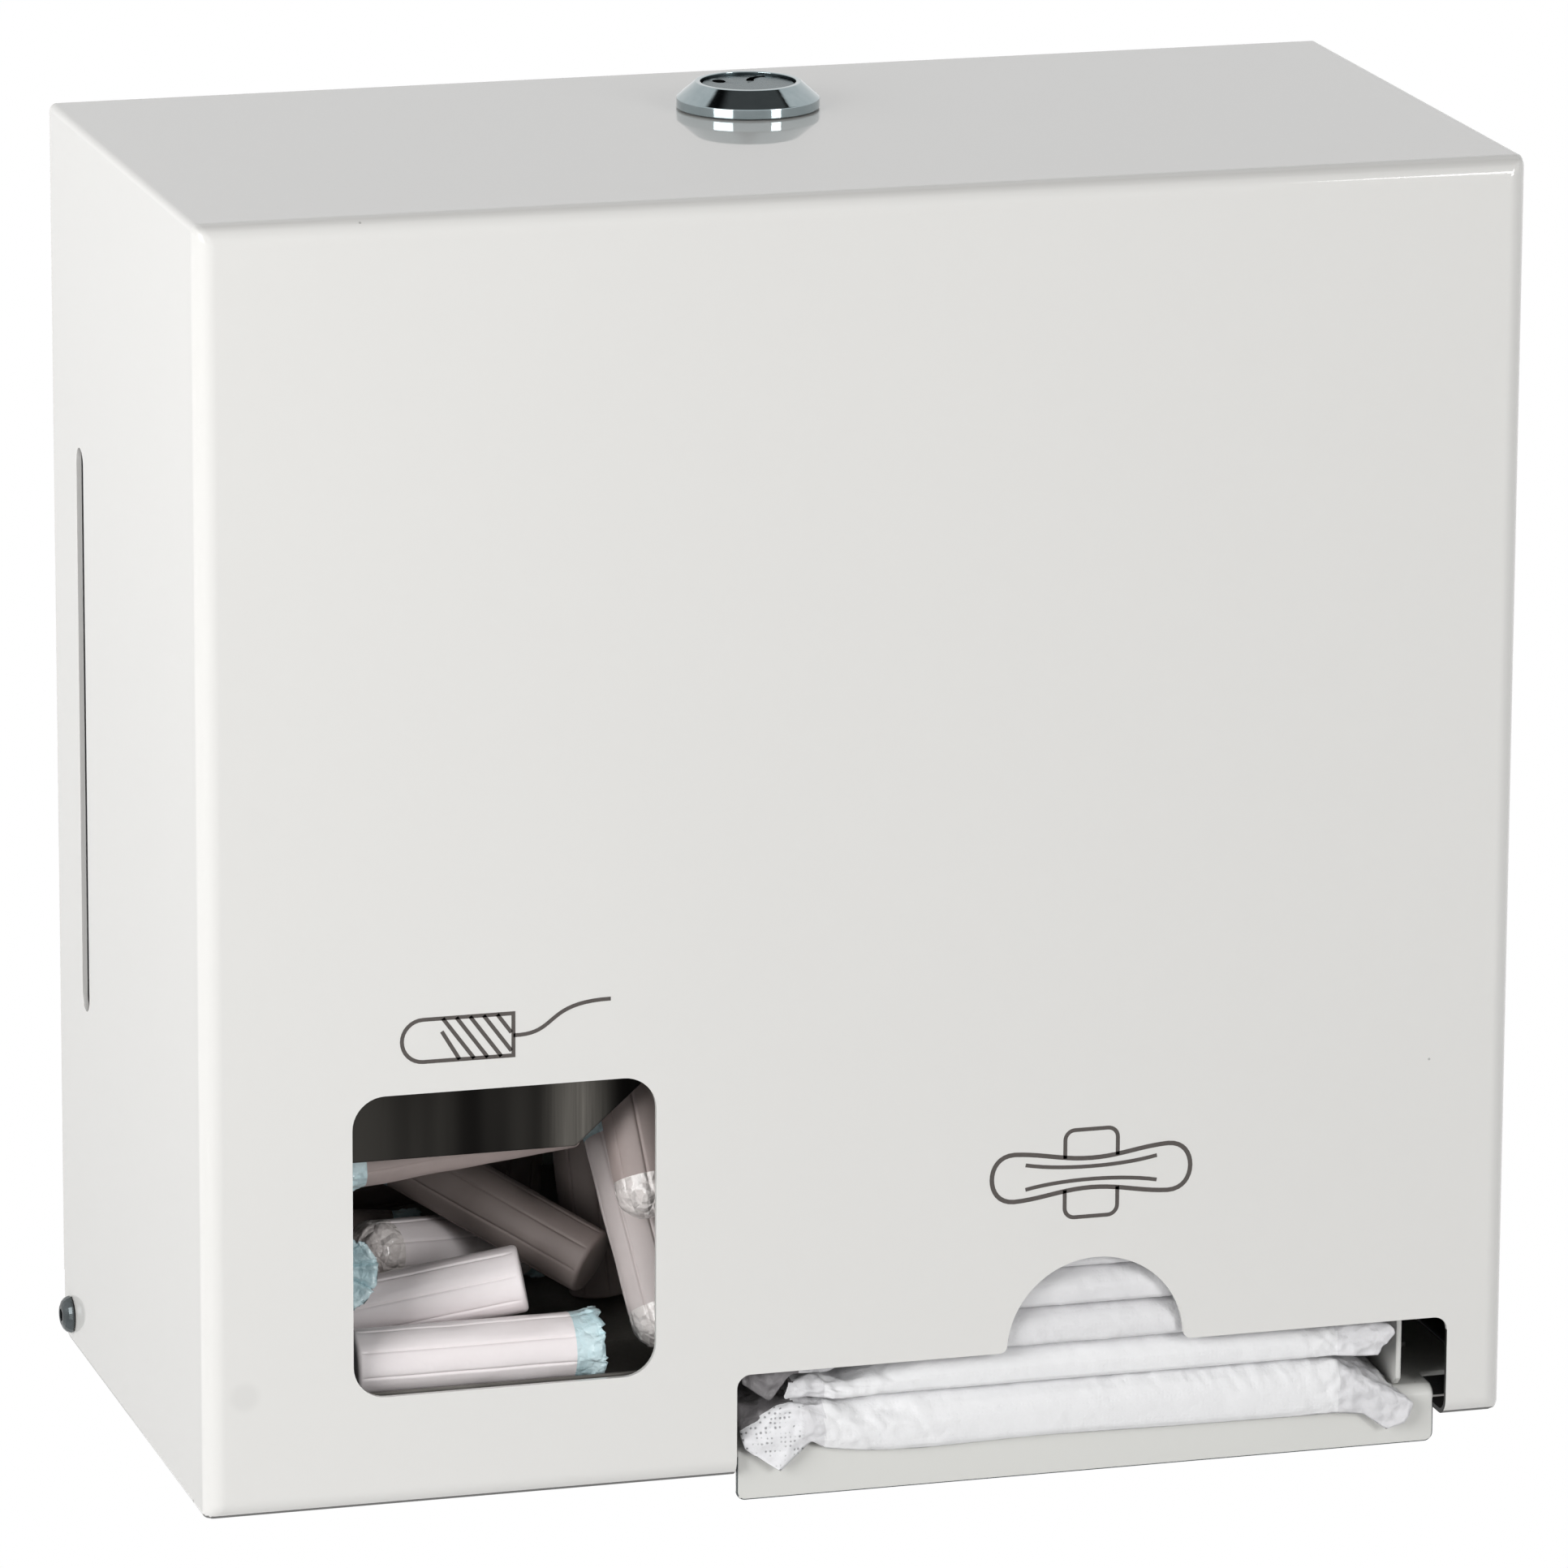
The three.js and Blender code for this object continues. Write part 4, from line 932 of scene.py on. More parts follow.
# %% [markdown]
# The wrapped pads
#
# A folded pad in its own wrapper is a soft flat bar. Its front is a rounded fold, and at both ends the empty wrapper is
# gathered and sealed, so that a thin flap sticks out, twists and hangs. A remeshed cloth would lose such thin film.
# So the whole wrapper is lofted from stations along its length. Each station has an outer curve, from the lowest edge
# in front over the top to the back, and an inner curve under it. In the bar the two lie 7 mm apart, and in a flap they
# almost touch. Smooth noise then gives the sag, the gathers and the slanting wrinkles.

# %% Stations of a wrapper
PAD_DEPTH, PAD_THICK, PAD_PITCH, PAD_X, PAD_FRONT, PAD_COUNT = 110.0, 7.3, 7.6, 43.0, -125.4, 11
ALONG_CURVE = [0, 0.04, 0.08, 0.12, 0.2, 0.35, 0.6, 0.85, 1.0]
FILM, FLAP_REAR = 0.13, -20
FRONT_SHARE, FRONT_END = 0.62, 0.2
FILM_BLUR, NEAR_BLUR = 4, 160


def bar(x, low, high, front, overhang=0.0, lean=0.0):
    """Outer and inner curve through the bar. With an overhang the front edge hangs down over the tray's lip, and with
    a lean the top of the front slopes back."""
    rear = front + PAD_DEPTH
    middle, thick = (low + high) / 2, high - low
    outer = [(front + 1.2, low), (front + 0.15, low + 0.14 * thick), (front, low + 0.42 * thick),
             (front + 1.3, low + 0.78 * thick), (front + 6, high), (front + 26, high), (front + 60, high),
             (rear - 8, high - 0.2), (rear, middle)]
    inner = [outer[0], *((front + step, low) for step in (3, 5, 9, 16, 30, 60)), (rear - 8, low + 0.2), (rear, middle)]
    if overhang:
        edge = low - overhang
        rise = high - edge
        outer[:4] = [(front + 1.3, edge), (front + 0.25, edge + 0.14 * rise), (front, edge + 0.48 * rise),
                     (front + 1.2 + 0.4 * lean, edge + (0.84 - 0.12 * lean) * rise)]
        inner[:5] = [outer[0], (front + 2.05, 4.2), (front + 3.1, 5.75), (front + 5.2, low), (front + 10, low)]
    return np.array([[(x, *q) for q in outer], [(x, *q) for q in inner]])


def flap(front_points, rear_x, rear_z):
    """A flap as a film with two faces a hair apart: five points in front, and then an even run to the back."""
    x, y, z = front_points[-1]
    run = [(x + (rear_x - x) * t, y + (FLAP_REAR - y) * t, z + (rear_z - z) * t) for t in (0.2, 0.5, 0.8, 1.0)]
    lean = np.array([(0, -1, 0.3)] * 3 + [(0, -0.7, 0.7)] + [(0, 0, 1)] * 5) * FILM
    middle = np.array(front_points + run, float)
    return np.array([middle + lean, middle - lean])


def smooth_curve(where, keys):
    """A cubic through the keys of one curve that doesn't overshoot."""
    knots = np.array(ALONG_CURVE)
    slopes = np.diff(keys, axis=0) / np.diff(knots)[:, None]
    tangents = np.zeros_like(keys)
    tangents[0], tangents[-1] = slopes[0], slopes[-1]
    same = slopes[:-1] * slopes[1:] > 0
    tangents[1:-1] = np.where(same, 2 * slopes[:-1] * slopes[1:] / (slopes[:-1] + slopes[1:] + 1e-12), 0)
    i = np.clip(np.searchsorted(knots, where, side="right") - 1, 0, len(knots) - 2)
    width = np.diff(knots)[i][:, None]
    t = ((where - knots[i])[:, None]) / width
    return (keys[i] * (2 * t ** 3 - 3 * t ** 2 + 1) + keys[i + 1] * (3 * t ** 2 - 2 * t ** 3)
            + tangents[i] * width * (t ** 3 - 2 * t ** 2 + t) + tangents[i + 1] * width * (t ** 3 - t ** 2))


def blur(row, times):
    """Smooths a row of values in place, and keeps its ends."""
    for _ in range(times):
        row[1:-1] = (row[:-2] + 2 * row[1:-1] + row[2:]) / 4


print("points of a station:", 2 * len(ALONG_CURVE))


# %% Folds and wrinkles
def rumple(x, y, z, scale, seed):
    """Smooth noise from -1 to 1 with a wavelength of about scale millimetres."""
    return noise.noise(Vector((x / scale + seed * 7.3, y / scale - seed * 3.1, z / scale + seed * 1.7)))


def ridges(x, y, z, scale, seed):
    """Noise with sharp crests, like the creases between the flat facets of crumpled film."""
    return 0.45 - 2 * abs(rumple(x, y, z, scale, seed))


def fold_depth(x, z, start, stop, depth, width):
    """How deep one fold is at a place: a sharp valley along a line, with a low swell above it."""
    dx, dz = x - start[0], z - start[1]
    run, rise = stop[0] - start[0], stop[1] - start[1]
    length = math.hypot(run, rise)
    along = (dx * run + dz * rise) / length
    off = (dz * run - dx * rise) / length
    within = smooth_step(-1.2, 0.4, along) * smooth_step(length + 1.2, length - 0.4, along)
    swell = math.exp(-((off - 2.2 * width) / (1.6 * width)) ** 2)
    return within * depth * (math.exp(-abs(off) / width) - 0.45 * swell)


def fine_wrapper(stations, steps, count, seed, sheets, crease=0.12, gathers=None, folds_at=(), combed_front=False):
    """Rings of points: stations joined by straight steps, smoothed, and then wrinkled along their normals.

    sheets says how many rings at each end are film. gathers gives four places along X: the film is crumpled up to the
    first and from the last, and smooth between the middle two. folds_at lists single folds, each by the X and height
    of its ends, its depth and its width. A combed front has fine slanting wrinkles along its upper right part.
    """
    grid = []
    for start, stop, step in zip(stations, stations[1:], steps):
        grid += [start * (1 - k / step) + stop * (k / step) for k in range(step)]
    grid = np.array(grid + [stations[-1]])
    blur(grid, 3)
    front_count = int(count * FRONT_SHARE)
    where = np.concatenate([np.linspace(0, FRONT_END, front_count, endpoint=False),
                            np.linspace(FRONT_END, 1, count - front_count + 1)])
    fine = np.stack([[smooth_curve(where, side) for side in station] for station in grid])
    normal = np.cross(np.gradient(fine, axis=0), np.gradient(fine, axis=2))
    normal /= np.linalg.norm(normal, axis=-1, keepdims=True) + 1e-9
    film = np.ones(len(grid))
    film[sheets[0]:len(grid) - sheets[1]] = 0
    near = film.copy()
    blur(film, FILM_BLUR)
    blur(near, NEAR_BLUR)
    for i, loose in enumerate(film):
        for j in range(1, len(where) - 1):
            x, y, z = fine[i, 0, j]
            folds = 0.6 * ridges(x, y, z, 5.5, seed) + 0.35 * ridges(x, y, z, 2.4, seed + 4)
            wave = 0.55 * rumple(x, y, z, 5.5, seed) + 0.35 * rumple(x, y, z, 2.2, seed + 4)
            slant = 0.7 * rumple(x + 0.55 * z, y * 0.2, z * 0.25, 1.3, seed + 9)
            sag = rumple(x, y * 0.3, z * 0.5, 17, seed + 2)
            gathered = min(near[i] * 1.7, 1.0)
            if gathers is not None:
                gathered = max(smooth_step(gathers[1], gathers[0], x), smooth_step(gathers[2], gathers[3], x))
            if combed_front:
                slant *= 1 + 3.4 * smooth_step(40, 55, x) * smooth_step(100, 90, x) * smooth_step(8, 10.5, z)
            shift = (loose * folds * 1.2 + gathered * (1 - loose) * folds * 0.7
                     + (1 - loose) * (crease * (slant + wave) + 0.22 * sag))
            for fold in folds_at:
                shift -= fold_depth(x, z, *fold) * smooth_step(-119, -122, y)
            fine[i, 0, j] += normal[i, 0, j] * shift
            fine[i, 1, j] += normal[i, 0, j] * shift * loose
    return [[tuple(q) for q in outer] + [tuple(q) for q in inner[-2:0:-1]] for outer, inner in fine]


def loft(name, rings):
    """Joins rings of equal count into one closed skin."""
    count = len(rings[0])
    last = (len(rings) - 1) * count
    faces = [(start + k, start + (k + 1) % count, start + count + (k + 1) % count, start + count + k)
             for start in range(0, last, count) for k in range(count)]
    faces += [tuple(range(count)), tuple(range(last, last + count))]
    return new_object(name, [p for ring in rings for p in ring], faces)


print("depth of a 1 mm fold on its line:", round(fold_depth(5, 0, (0, 0), (10, 0), 1.0, 1.0), 2), "mm")
# %% Flaps of the three lowest pads
lowest_stations = [
    flap([(-17.1, -126.2, 0.6), (-21.0, -126.1, 3.3), (-24.4, -125.9, 6.0), (-24.9, -124.4, 8.6),
          (-25.2, -117, 14.0)], -25.2, 14),
    flap([(-10.6, -125.4, 6.0), (-13.2, -126.0, 9.2), (-15.8, -125.9, 12.4), (-15.7, -124.9, 14.2),
          (-14.6, -116, 14.2)], -14, 10),
    flap([(-7.6, -125.3, 4.2), (-7.9, -126.0, 7.6), (-8.3, -125.8, 10.6), (-8.8, -124.4, 13.4),
          (-8, -116, 13.6)], -8, 10),
    bar(1.5, 6.45, 13.3, -126.3, 3.5, 1.0),
    bar(12, 6.45, 13.6, -126.35, 3.9, 0.4),
    bar(36, 6.45, 13.7, -126.35, 3.4),
    bar(62, 6.45, 13.8, -126.35, 3.8),
    bar(88, 6.45, 13.6, -126.3, 4.1),
    flap([(97.8, -125.4, 2.5), (97.6, -126.1, 6.5), (97.4, -125.8, 10.8), (97.2, -124.0, 13.3),
          (97.0, -117, 13.4)], 98, 10),
    flap([(103.6, -125.6, 1.9), (103.5, -126.0, 5.0), (103.4, -126.0, 8.2), (103.3, -124.6, 9.9),
          (103, -117, 10.9)], 103, 9.5),
    flap([(108.3, -126.2, -1.5), (112.0, -126.2, -0.3), (113.8, -126.1, 3.0), (112.6, -125.2, 4.6),
          (110.2, -119, 7.2)], 110.2, 8.5),
]
second_stations = [
    flap([(-15.7, -124.9, 15.0), (-16.3, -125.3, 15.7), (-15.8, -125.1, 16.6), (-15.0, -124.0, 17.6),
          (-14.6, -118, 18.3)], -14.6, 16),
    flap([(-11.0, -124.8, 15.0), (-11.1, -125.4, 16.2), (-11.0, -124.9, 17.4), (-10.8, -123.2, 18.3),
          (-10.6, -117, 18.8)], -10.6, 16),
    flap([(-4.6, -124.6, 13.9), (-4.6, -125.2, 15.2), (-4.6, -124.7, 16.3), (-4.6, -123.2, 16.8),
          (-4.6, -118, 16.4)], -4.6, 16),
    bar(2.8, 14.0, 18.6, -125.0),
    bar(12, 14.0, 21.2, -125.1),
    bar(40, 14.0, 21.4, -125.1),
    bar(66, 14.0, 21.4, -125.2),
    bar(90, 14.0, 21.2, -125.1),
    flap([(97.2, -124.4, 14.2), (97.0, -124.9, 15.8), (96.8, -124.6, 18.0), (96.8, -122.5, 19.8),
          (97.0, -116, 20.4)], 97, 17.5),
    flap([(102.2, -125.1, 13.9), (102.4, -125.4, 16.0), (103.4, -124.0, 19.4), (104.6, -122.6, 21.0),
          (104, -116, 21.0)], 104, 17.5),
    flap([(106.6, -125.2, 13.7), (108.6, -125.4, 16.2), (110.2, -125.1, 18.4), (108.6, -123.8, 20.0),
          (109.6, -117, 20.4)], 110.2, 17.5),
]
third_left_end = [
    flap([(-24.2, -123.4, 18.2), (-24.3, -123.2, 19.2), (-24.4, -122.8, 20.2), (-24.5, -121.6, 21.4),
          (-24.6, -116, 22.0)], -25, 22.5),
    flap([(-18.9, -124.4, 14.3), (-18.7, -124.3, 16.8), (-18.5, -124.0, 19.0), (-18.4, -122.4, 21.4),
          (-18.4, -116, 22.2)], -18.5, 22.5),
    flap([(-14.6, -123.9, 19.7), (-14.5, -123.8, 20.3), (-14.4, -123.3, 21.0), (-14.2, -121.8, 21.8),
          (-14, -116, 22.3)], -14, 22.5),
    flap([(-6, -121.4, 18.6), (-6, -121.6, 19.6), (-6, -121.2, 20.6), (-6, -120, 21.7),
          (-6, -114, 22.6)], -6, 23),
]
LOWEST_FOLDS = [
    ((-9.6, 13.6), (-5.6, 9.9), 0.55, 0.5), ((-5.6, 9.9), (6.5, 11.2), 0.35, 0.7),
    ((-3.2, 8.6), (-0.2, 4.2), 0.4, 0.45),
    ((0.6, 9.8), (4.0, 6.2), 0.45, 0.5), ((4.4, 8.8), (9.5, 7.0), 0.35, 0.5), ((10.0, 10.4), (13.5, 5.2), 0.3, 0.5),
    ((15.5, 8.0), (19.5, 3.6), 0.25, 0.6), ((94.0, 11.5), (97.5, 7.0), 0.3, 0.5),
    ((99.0, 10.5), (104.5, 4.5), 0.4, 0.5),
    ((104.0, 8.4), (109.5, 2.4), 0.4, 0.5),
]
SECOND_FOLDS = [
    ((-9.0, 17.2), (-4.0, 15.6), 0.4, 0.4), ((-3.6, 16.6), (5.0, 16.0), 0.35, 0.5),
    ((3.5, 18.6), (9.5, 15.2), 0.3, 0.5),
    ((95.0, 19.5), (98.5, 15.2), 0.4, 0.45), ((99.5, 19.0), (103.5, 16.4), 0.5, 0.45),
    ((103.0, 18.8), (107.5, 15.4), 0.5, 0.45),
]
FRONT_STEPS = [16, 12, 16, 18, 44, 44, 44, 18, 12, 16]
print("stations:", len(lowest_stations), len(second_stations), len(third_left_end))

# %% Stack of pads
FIRST_LOW = 6.35
FRONT_SHEETS = (28, 28)
FULL_DETAIL = 5


def plain_end(x, front, centre):
    """A station of the flap of a pad higher up."""
    return flap([(x, front + 1, centre - 1), (x, front + 0.6, centre), (x, front + 1, centre + 1),
                 (x, front + 2, centre + 1.4), (x, front + 9, centre + 0.8)], x, centre)


def stacked_rings(k):
    """Rings of a pad over the two lowest. Only the first few of them need the full detail."""
    middle = PAD_X + 0.6 * math.sin(k * 1.7)
    low = FIRST_LOW + k * PAD_PITCH
    front = PAD_FRONT + 0.6 + 0.5 * math.sin(k * 2.1)
    high, centre = low + PAD_THICK, low + PAD_THICK / 2
    left_end = third_left_end if k == 2 else [plain_end(middle + dx, front, centre) for dx in (-66, -55)]
    stations = (left_end + [bar(middle + dx, low, high, front) for dx in (-46, 0, 46)]
                + [plain_end(middle + dx, front, centre) for dx in (55, 66)])
    steps, count, crease = ([9, 9, 60, 60, 9, 9], 44, 0.3) if k < FULL_DETAIL else ([5, 5, 14, 14, 5, 5], 24, 0.12)
    sheets = (steps[0], steps[-1])
    if k == 2:
        steps, sheets = [12, 10] + steps, (36, 9)
    return fine_wrapper(stations, steps, count, k * 3.7, sheets, crease)


def pad_finish(k, x, y):
    """Which finish a face has: 0 for the bar, 1 for the seal, 2 for a film end and 3 for a film end deep in the slot,
    darkened as painted shade.
    """
    if k > 2:
        return 0
    if k == 2 or (x < -14 and y > -124.2):
        return 3 if x < -13 else 2 if x < 0 else 0
    if k == 0 and x < -12.5:
        return 1
    return 2 if x < -8 or x > 98.3 else 0


for k in range(PAD_COUNT):
    if k == 0:
        rings = fine_wrapper(lowest_stations, FRONT_STEPS, 60, 1.0, FRONT_SHEETS, 0.13, (0, 24, 86, 98), LOWEST_FOLDS,
                             combed_front=True)
    elif k == 1:
        rings = fine_wrapper(second_stations, FRONT_STEPS, 60, 5.0, FRONT_SHEETS, 0.11, (-2, 18, 84, 97), SECOND_FOLDS)
    else:
        rings = stacked_rings(k)
    pad = loft(f"wrapped_pad_{k + 1:02d}", rings)
    # Pads above the two lowest take the darker wrapper, as painted shade.
    names = ["pad_wrapper" if k < 2 else "stacked_pad_wrapper_painted_shade"]
    if k < 3:
        names += ["wrapper_seal", "wrapper_film_end", "wrapper_film_painted_shade"]
    finish_piece(pad, names, "lowest_pad" if k == 0 else "frame", "pad_wrapper", f"pad_{k + 1:02d}")
    choose_finishes(pad, lambda x, y, z, normal: pad_finish(k, x, y))
    print(pad.name, "faces:", len(pad.data.polygons))

# %% [markdown]
# The wrapped tampons
#
# Each is a compressed roll of cotton with pressed grooves, in a sleeve of clear film. One end is rounded, and at the
# other the film is gathered into a small pleated ruff with a blue tint. The roll is lofted along its own axis, with
# grooves and film folds from the angle round it, and then turned to where the CAD has it.

# %% Tampon shape
TAMPON_RADIUS, TAMPON_LENGTH = 7.0, 50.0
TAMPONS = [
    ((-76, -115.4, 26.4), (-1, 0, 0)),
    ((-88, -101.3, 33.3), (0.956, -0.215, 0.2)),
    ((-65.4, -83, 46.8), (0.718, -0.58, -0.385)),
    ((-71.1, -74.5, 35.4), (-0.874, -0.465, 0.145)),
    ((-108.9, -91.5, 44), (-0.301, 0.954, 0)),
    ((-77.5, -102.5, 67), (0.994, 0.03, 0.1)),
    ((-38.8, -101.4, 45.3), (0.099, -0.557, -0.825)),
    ((-42, -74, 49.2), (0.1, -0.08, -0.992)),
    ((-41.2, -103, 73.1), (0.07, -0.47, -0.88)),
    ((-49.5, -44, 53), (-0.06, 0.1, -0.993)),
    ((-98.1, -58.8, 34.4), (-0.989, 0.13, 0.076)),
    ((-90, -38, 38.5), (0.987, 0.151, 0.05)),
]
RUFF_START = -18.8
GROOVES = 8
ROLL_RINGS, TIP_RINGS = 84, 12
FILM_TIPS = (4, 7, 9)
# Rolls deep in the bin take darker cotton as painted shade.
COTTON_OF_ROLL = {7: "lightly_shaded_cotton", **dict.fromkeys((6, 9), "half_shaded_cotton"),
                  **dict.fromkeys((3, 8, 10, 11, 12), "shaded_cotton")}
NEAR_A_GROOVE = [-0.33, -0.24, -0.16, -0.1, -0.06, -0.03, -0.012, 0.012, 0.03, 0.06, 0.1, 0.16, 0.24]


def tampon_rings(number):
    """Rings of one roll along its own X. The tip is a flat end with a tight rim, or a dome of crumpled film."""
    seed = number * 1.37
    half = TAMPON_LENGTH / 2
    film_tip = number in FILM_TIPS
    dome_length = 6.0 if film_tip else 1.0
    angles = [(2 * math.pi * g / GROOVES + d + seed, abs(d)) for g in range(GROOVES) for d in NEAR_A_GROOVE]
    last = ROLL_RINGS - TIP_RINGS
    rings = []
    for i in range(ROLL_RINGS + 1):
        if i > last:
            s = half - dome_length * (1 - math.sin((i - last) / TIP_RINGS * math.pi / 2))
        else:
            s = -half + (TAMPON_LENGTH - dome_length) * i / last
        fall = min((half - s) / dome_length, 1.0)
        dome = math.sqrt(max(1 - (1 - fall) ** 2, 0.0))
        roll = TAMPON_RADIUS * 0.955 * (0.12 + 0.88 * dome if film_tip else 0.86 + 0.14 * dome)
        ruff = smooth_step(RUFF_START + 0.8, RUFF_START - 0.8, s)
        flare = smooth_step(RUFF_START, -half, s)
        loose = smooth_step(half - dome_length - 2, half - dome_length * 0.5, s)
        ring = []
        for angle, off in angles:
            co, si = math.cos(angle), math.sin(angle)
            groove = math.exp(-(off / 0.03) ** 2)
            r = roll - 0.34 * groove * (1 - ruff) * (1 - loose)
            r += 0.16 * rumple(s * 0.35, roll * co, roll * si, 3.2, seed) * (1 - ruff)
            if film_tip:
                r += loose * (0.75 * ridges(s, 6 * co, 6 * si, 2.7, seed + 6)
                              + 0.3 * ridges(s, 6 * co, 6 * si, 1.3, seed))
            fold = ridges(s * 0.5, 9 * co, 9 * si, 3.4, seed + 2)
            fine_fold = ridges(s * 0.7, 9 * co, 9 * si, 1.5, seed + 5)
            r += ruff * (0.4 * fine_fold * (0.5 + flare) + flare * (1.2 * fold + 0.5))
            r = min(r, TAMPON_RADIUS * (0.995 + 0.07 * ruff))
            end = s + flare * ruff * (2.2 * fold + 1.4 * fine_fold)
            ring.append((min(max(end, -half), half), r * co, r * si))
        rings.append(ring)
    inside = [[(x + depth, y * share, z * share) for x, y, z in rings[0]]
              for depth, share in ((4.6, 0.15), (4.0, 0.4), (2.4, 0.66), (0.5, 0.86))]
    return inside + rings


def roll_finish(number, along):
    """Which finish a face has: 0 for the roll, 1 for the blue ruff and 2 for a film tip."""
    if along < RUFF_START:
        return 1
    return 2 if number in FILM_TIPS and along > TAMPON_LENGTH / 2 - 8 else 0


print("points of a ring:", GROOVES * len(NEAR_A_GROOVE))

# %% Tampons in the bin
for number, (middle, tip) in enumerate(TAMPONS, start=1):
    spin = Vector((1, 0, 0)).rotation_difference(Vector(tip).normalized()).to_matrix()
    unspin, centre = spin.transposed(), Vector(middle)
    rings = [[tuple(spin @ Vector(p) + centre) for p in ring] for ring in tampon_rings(number)]
    roll = loft(f"tampon_roll_{number:02d}", rings)
    names = [COTTON_OF_ROLL.get(number, "wrapped_cotton"), "blue_film_end", "clear_film_tip"]
    finish_piece(roll, names, "frame", "tampon_wrapper", f"tampon_{number:02d}")
    choose_finishes(roll, lambda x, y, z, normal: roll_finish(number, (unspin @ (Vector((x, y, z)) - centre)).x))
print("tampons:", len(TAMPONS))

# %% [markdown]
# The printed signs
#
# The front has two small line drawings in dark grey, one over each opening: a tampon with its cord and a pad with
# wings. They are printed, so each line is a ribbon of ink a few hundredths of a millimetre thick.

# %% Ink lines
INK_FACE, INK_THICK = -DEPTH - 0.03, 0.02
INK_WIDTH, PAD_INK_WIDTH, WING_INK_WIDTH = 0.78, 0.92, 0.8


def ink_line(points, closed, width):
    """Vertices and faces of a flat ribbon along points of x and height."""
    path = [Vector(p) for p in points]
    count = len(path)
    vertices, faces = [], []
    for i, p in enumerate(path):
        before = path[i - 1] if i > 0 or closed else p * 2 - path[1]
        after = path[(i + 1) % count] if i < count - 1 or closed else p * 2 - path[i - 1]
        into, out = (p - before).normalized(), (after - p).normalized()
        along = (into + out).normalized()
        side = Vector((-along.y, along.x)) * width / 2 / max(along.dot(into), 0.5)
        for edge in (p + side, p - side):
            vertices += [(edge.x, INK_FACE, edge.y), (edge.x, INK_FACE + INK_THICK, edge.y)]
    for i in range(count if closed else count - 1):
        a, b = 4 * i, 4 * ((i + 1) % count)
        faces += [(a, b, b + 2, a + 2), (a + 1, a + 3, b + 3, b + 1), (a, a + 1, b + 1, b),
                  (a + 2, b + 2, b + 3, a + 3)]
    if not closed:
        last = 4 * (count - 1)
        faces += [(0, 2, 3, 1), (last, last + 1, last + 3, last + 2)]
    return vertices, faces


def ink_drawing(name, lines):
    """One piece from lines, each with its points, whether it is closed, and its width."""
    vertices, faces = [], []
    for line in lines:
        more, joined = ink_line(*line)
        faces += [tuple(i + len(vertices) for i in face) for face in joined]
        vertices += more
    made = new_object(name, vertices, faces, smooth=False)
    print(name, "lines:", len(lines))
    return finish_piece(made, ["printing_ink"], "cover_body", "white_powder_coat")


def bezier(start, pull_a, pull_b, stop, steps=14):
    a, b, c, d = (Vector(p) for p in (start, pull_a, pull_b, stop))
    return [tuple(a * (1 - t) ** 3 + b * 3 * t * (1 - t) ** 2 + c * 3 * t * t * (1 - t) + d * t ** 3)
            for t in (k / steps for k in range(steps + 1))]


print("ink lines:", INK_WIDTH, "mm wide,", INK_THICK, "mm thick")

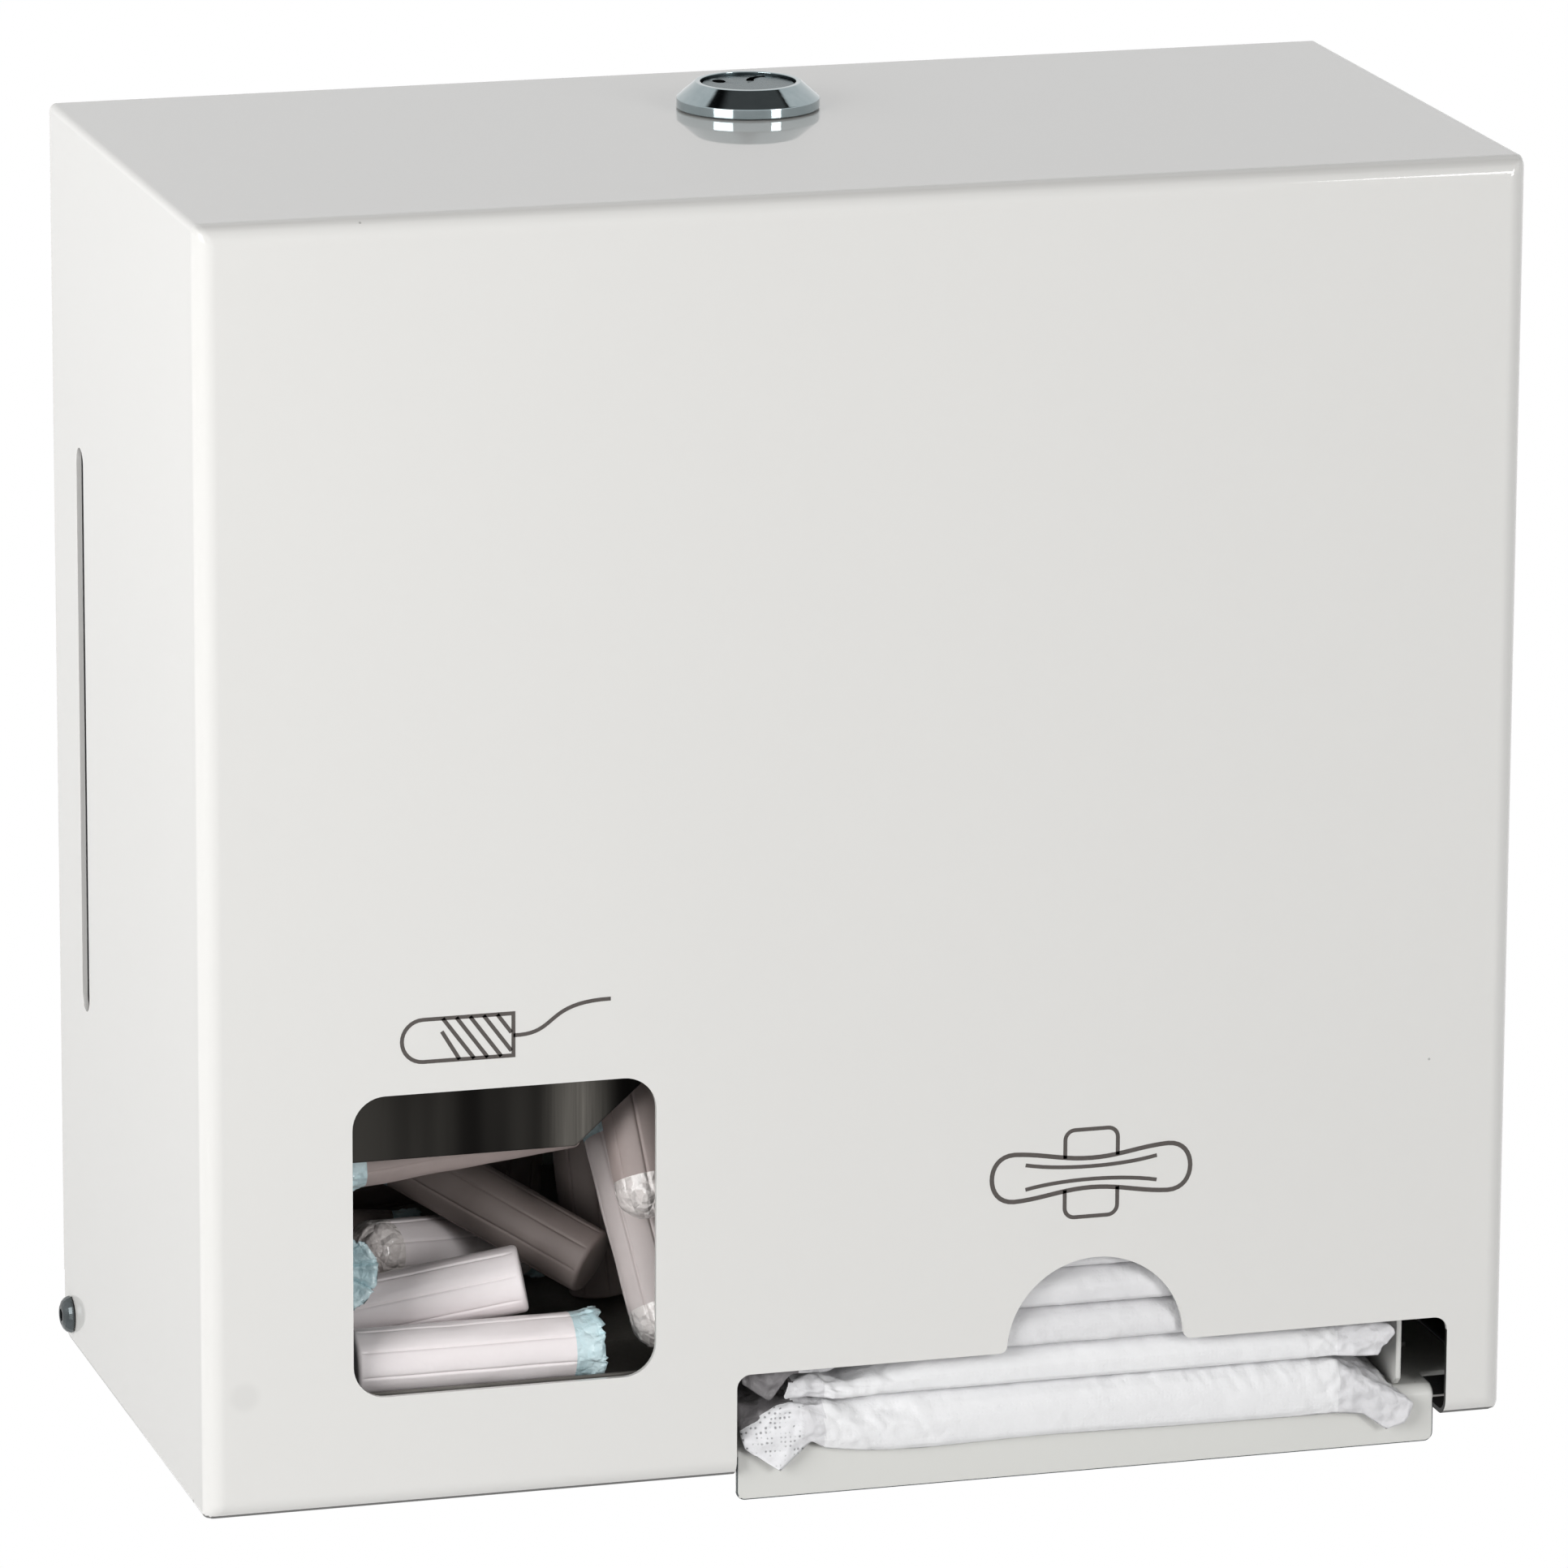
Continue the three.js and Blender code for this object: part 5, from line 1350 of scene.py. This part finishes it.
# %% Tampon sign
SIGN_LEFT, SIGN_RIGHT, SIGN_LOW, SIGN_HIGH = -93.3, -71.2, 89.6, 98.0
HATCH_START, HATCH_STEP, HATCH_LEAN = -85.2, 2.7, 6.2
sign_middle, sign_round = (SIGN_LOW + SIGN_HIGH) / 2, (SIGN_HIGH - SIGN_LOW) / 2
body_line = ([(SIGN_RIGHT, SIGN_LOW), (SIGN_RIGHT, SIGN_HIGH)]
             + arc(SIGN_LEFT + sign_round, sign_middle, sign_round, 90, 270, 16))
cord_line = bezier((SIGN_RIGHT, 93.6), (-62, 93.2), (-65.5, 99.6), (-51.8, 99.5), 20)
lines = [(body_line, True, INK_WIDTH), (cord_line, False, INK_WIDTH)]
for k in range(5):
    top_x = HATCH_START + HATCH_STEP * k
    reach = min(1.0, (SIGN_RIGHT - 0.4 - top_x) / HATCH_LEAN)
    low_end = (top_x + HATCH_LEAN * reach, SIGN_HIGH - (SIGN_HIGH - SIGN_LOW) * reach)
    lines.append(([(top_x, SIGN_HIGH), low_end], False, INK_WIDTH))
lines.append(([(-85.4, SIGN_HIGH - 2.6), (-81.9, SIGN_LOW)], False, INK_WIDTH))
ink_drawing("tampon_sign", lines)

# %% Pad sign
PAD_SIGN_X, PAD_SIGN_Z, PAD_SIGN_HALF = 45.8, 56.9, 20.4
WING_HALF, WING_FOOT, WING_REACH, WING_ROUND = 5.4, 3.2, 8.9, 2.0
QUARTERS = ((1, 1, 1), (1, -1, -1), (-1, -1, 1), (-1, 1, -1))


def on_sign(points, side, rise):
    """Places points drawn from the sign's middle, for one side and one edge."""
    return [(PAD_SIGN_X + side * dx, PAD_SIGN_Z + rise * dz) for dx, dz in points]


pad_line = []
for side, rise, order in QUARTERS:
    edge = bezier(*on_sign([(0, 3.0), (6, 3.0), (10, 4.6), (15.8, 4.8)], side, rise), 10)
    end = bezier(*on_sign([(15.8, 4.8), (19.0, 4.8), (PAD_SIGN_HALF, 2.4), (PAD_SIGN_HALF, 0)], side, rise), 8)
    pad_line += (edge[:-1] + end)[::order][:-1]
lines = [(pad_line, True, PAD_INK_WIDTH)]
wing = ([(-WING_HALF, WING_FOOT)] + arc(WING_ROUND - WING_HALF, WING_REACH - WING_ROUND, WING_ROUND, 180, 90, 8)
        + arc(WING_HALF - WING_ROUND, WING_REACH - WING_ROUND, WING_ROUND, 90, 0, 8) + [(WING_HALF, WING_FOOT)])
for rise in (1, -1):
    lines.append((bezier(*on_sign([(-13.5, 2.5), (-6, 0.9), (6, 0.9), (13.5, 2.5)], 1, rise)), False, INK_WIDTH))
    lines.append((on_sign(wing, 1, rise), False, WING_INK_WIDTH))
ink_drawing("pad_sign", lines)
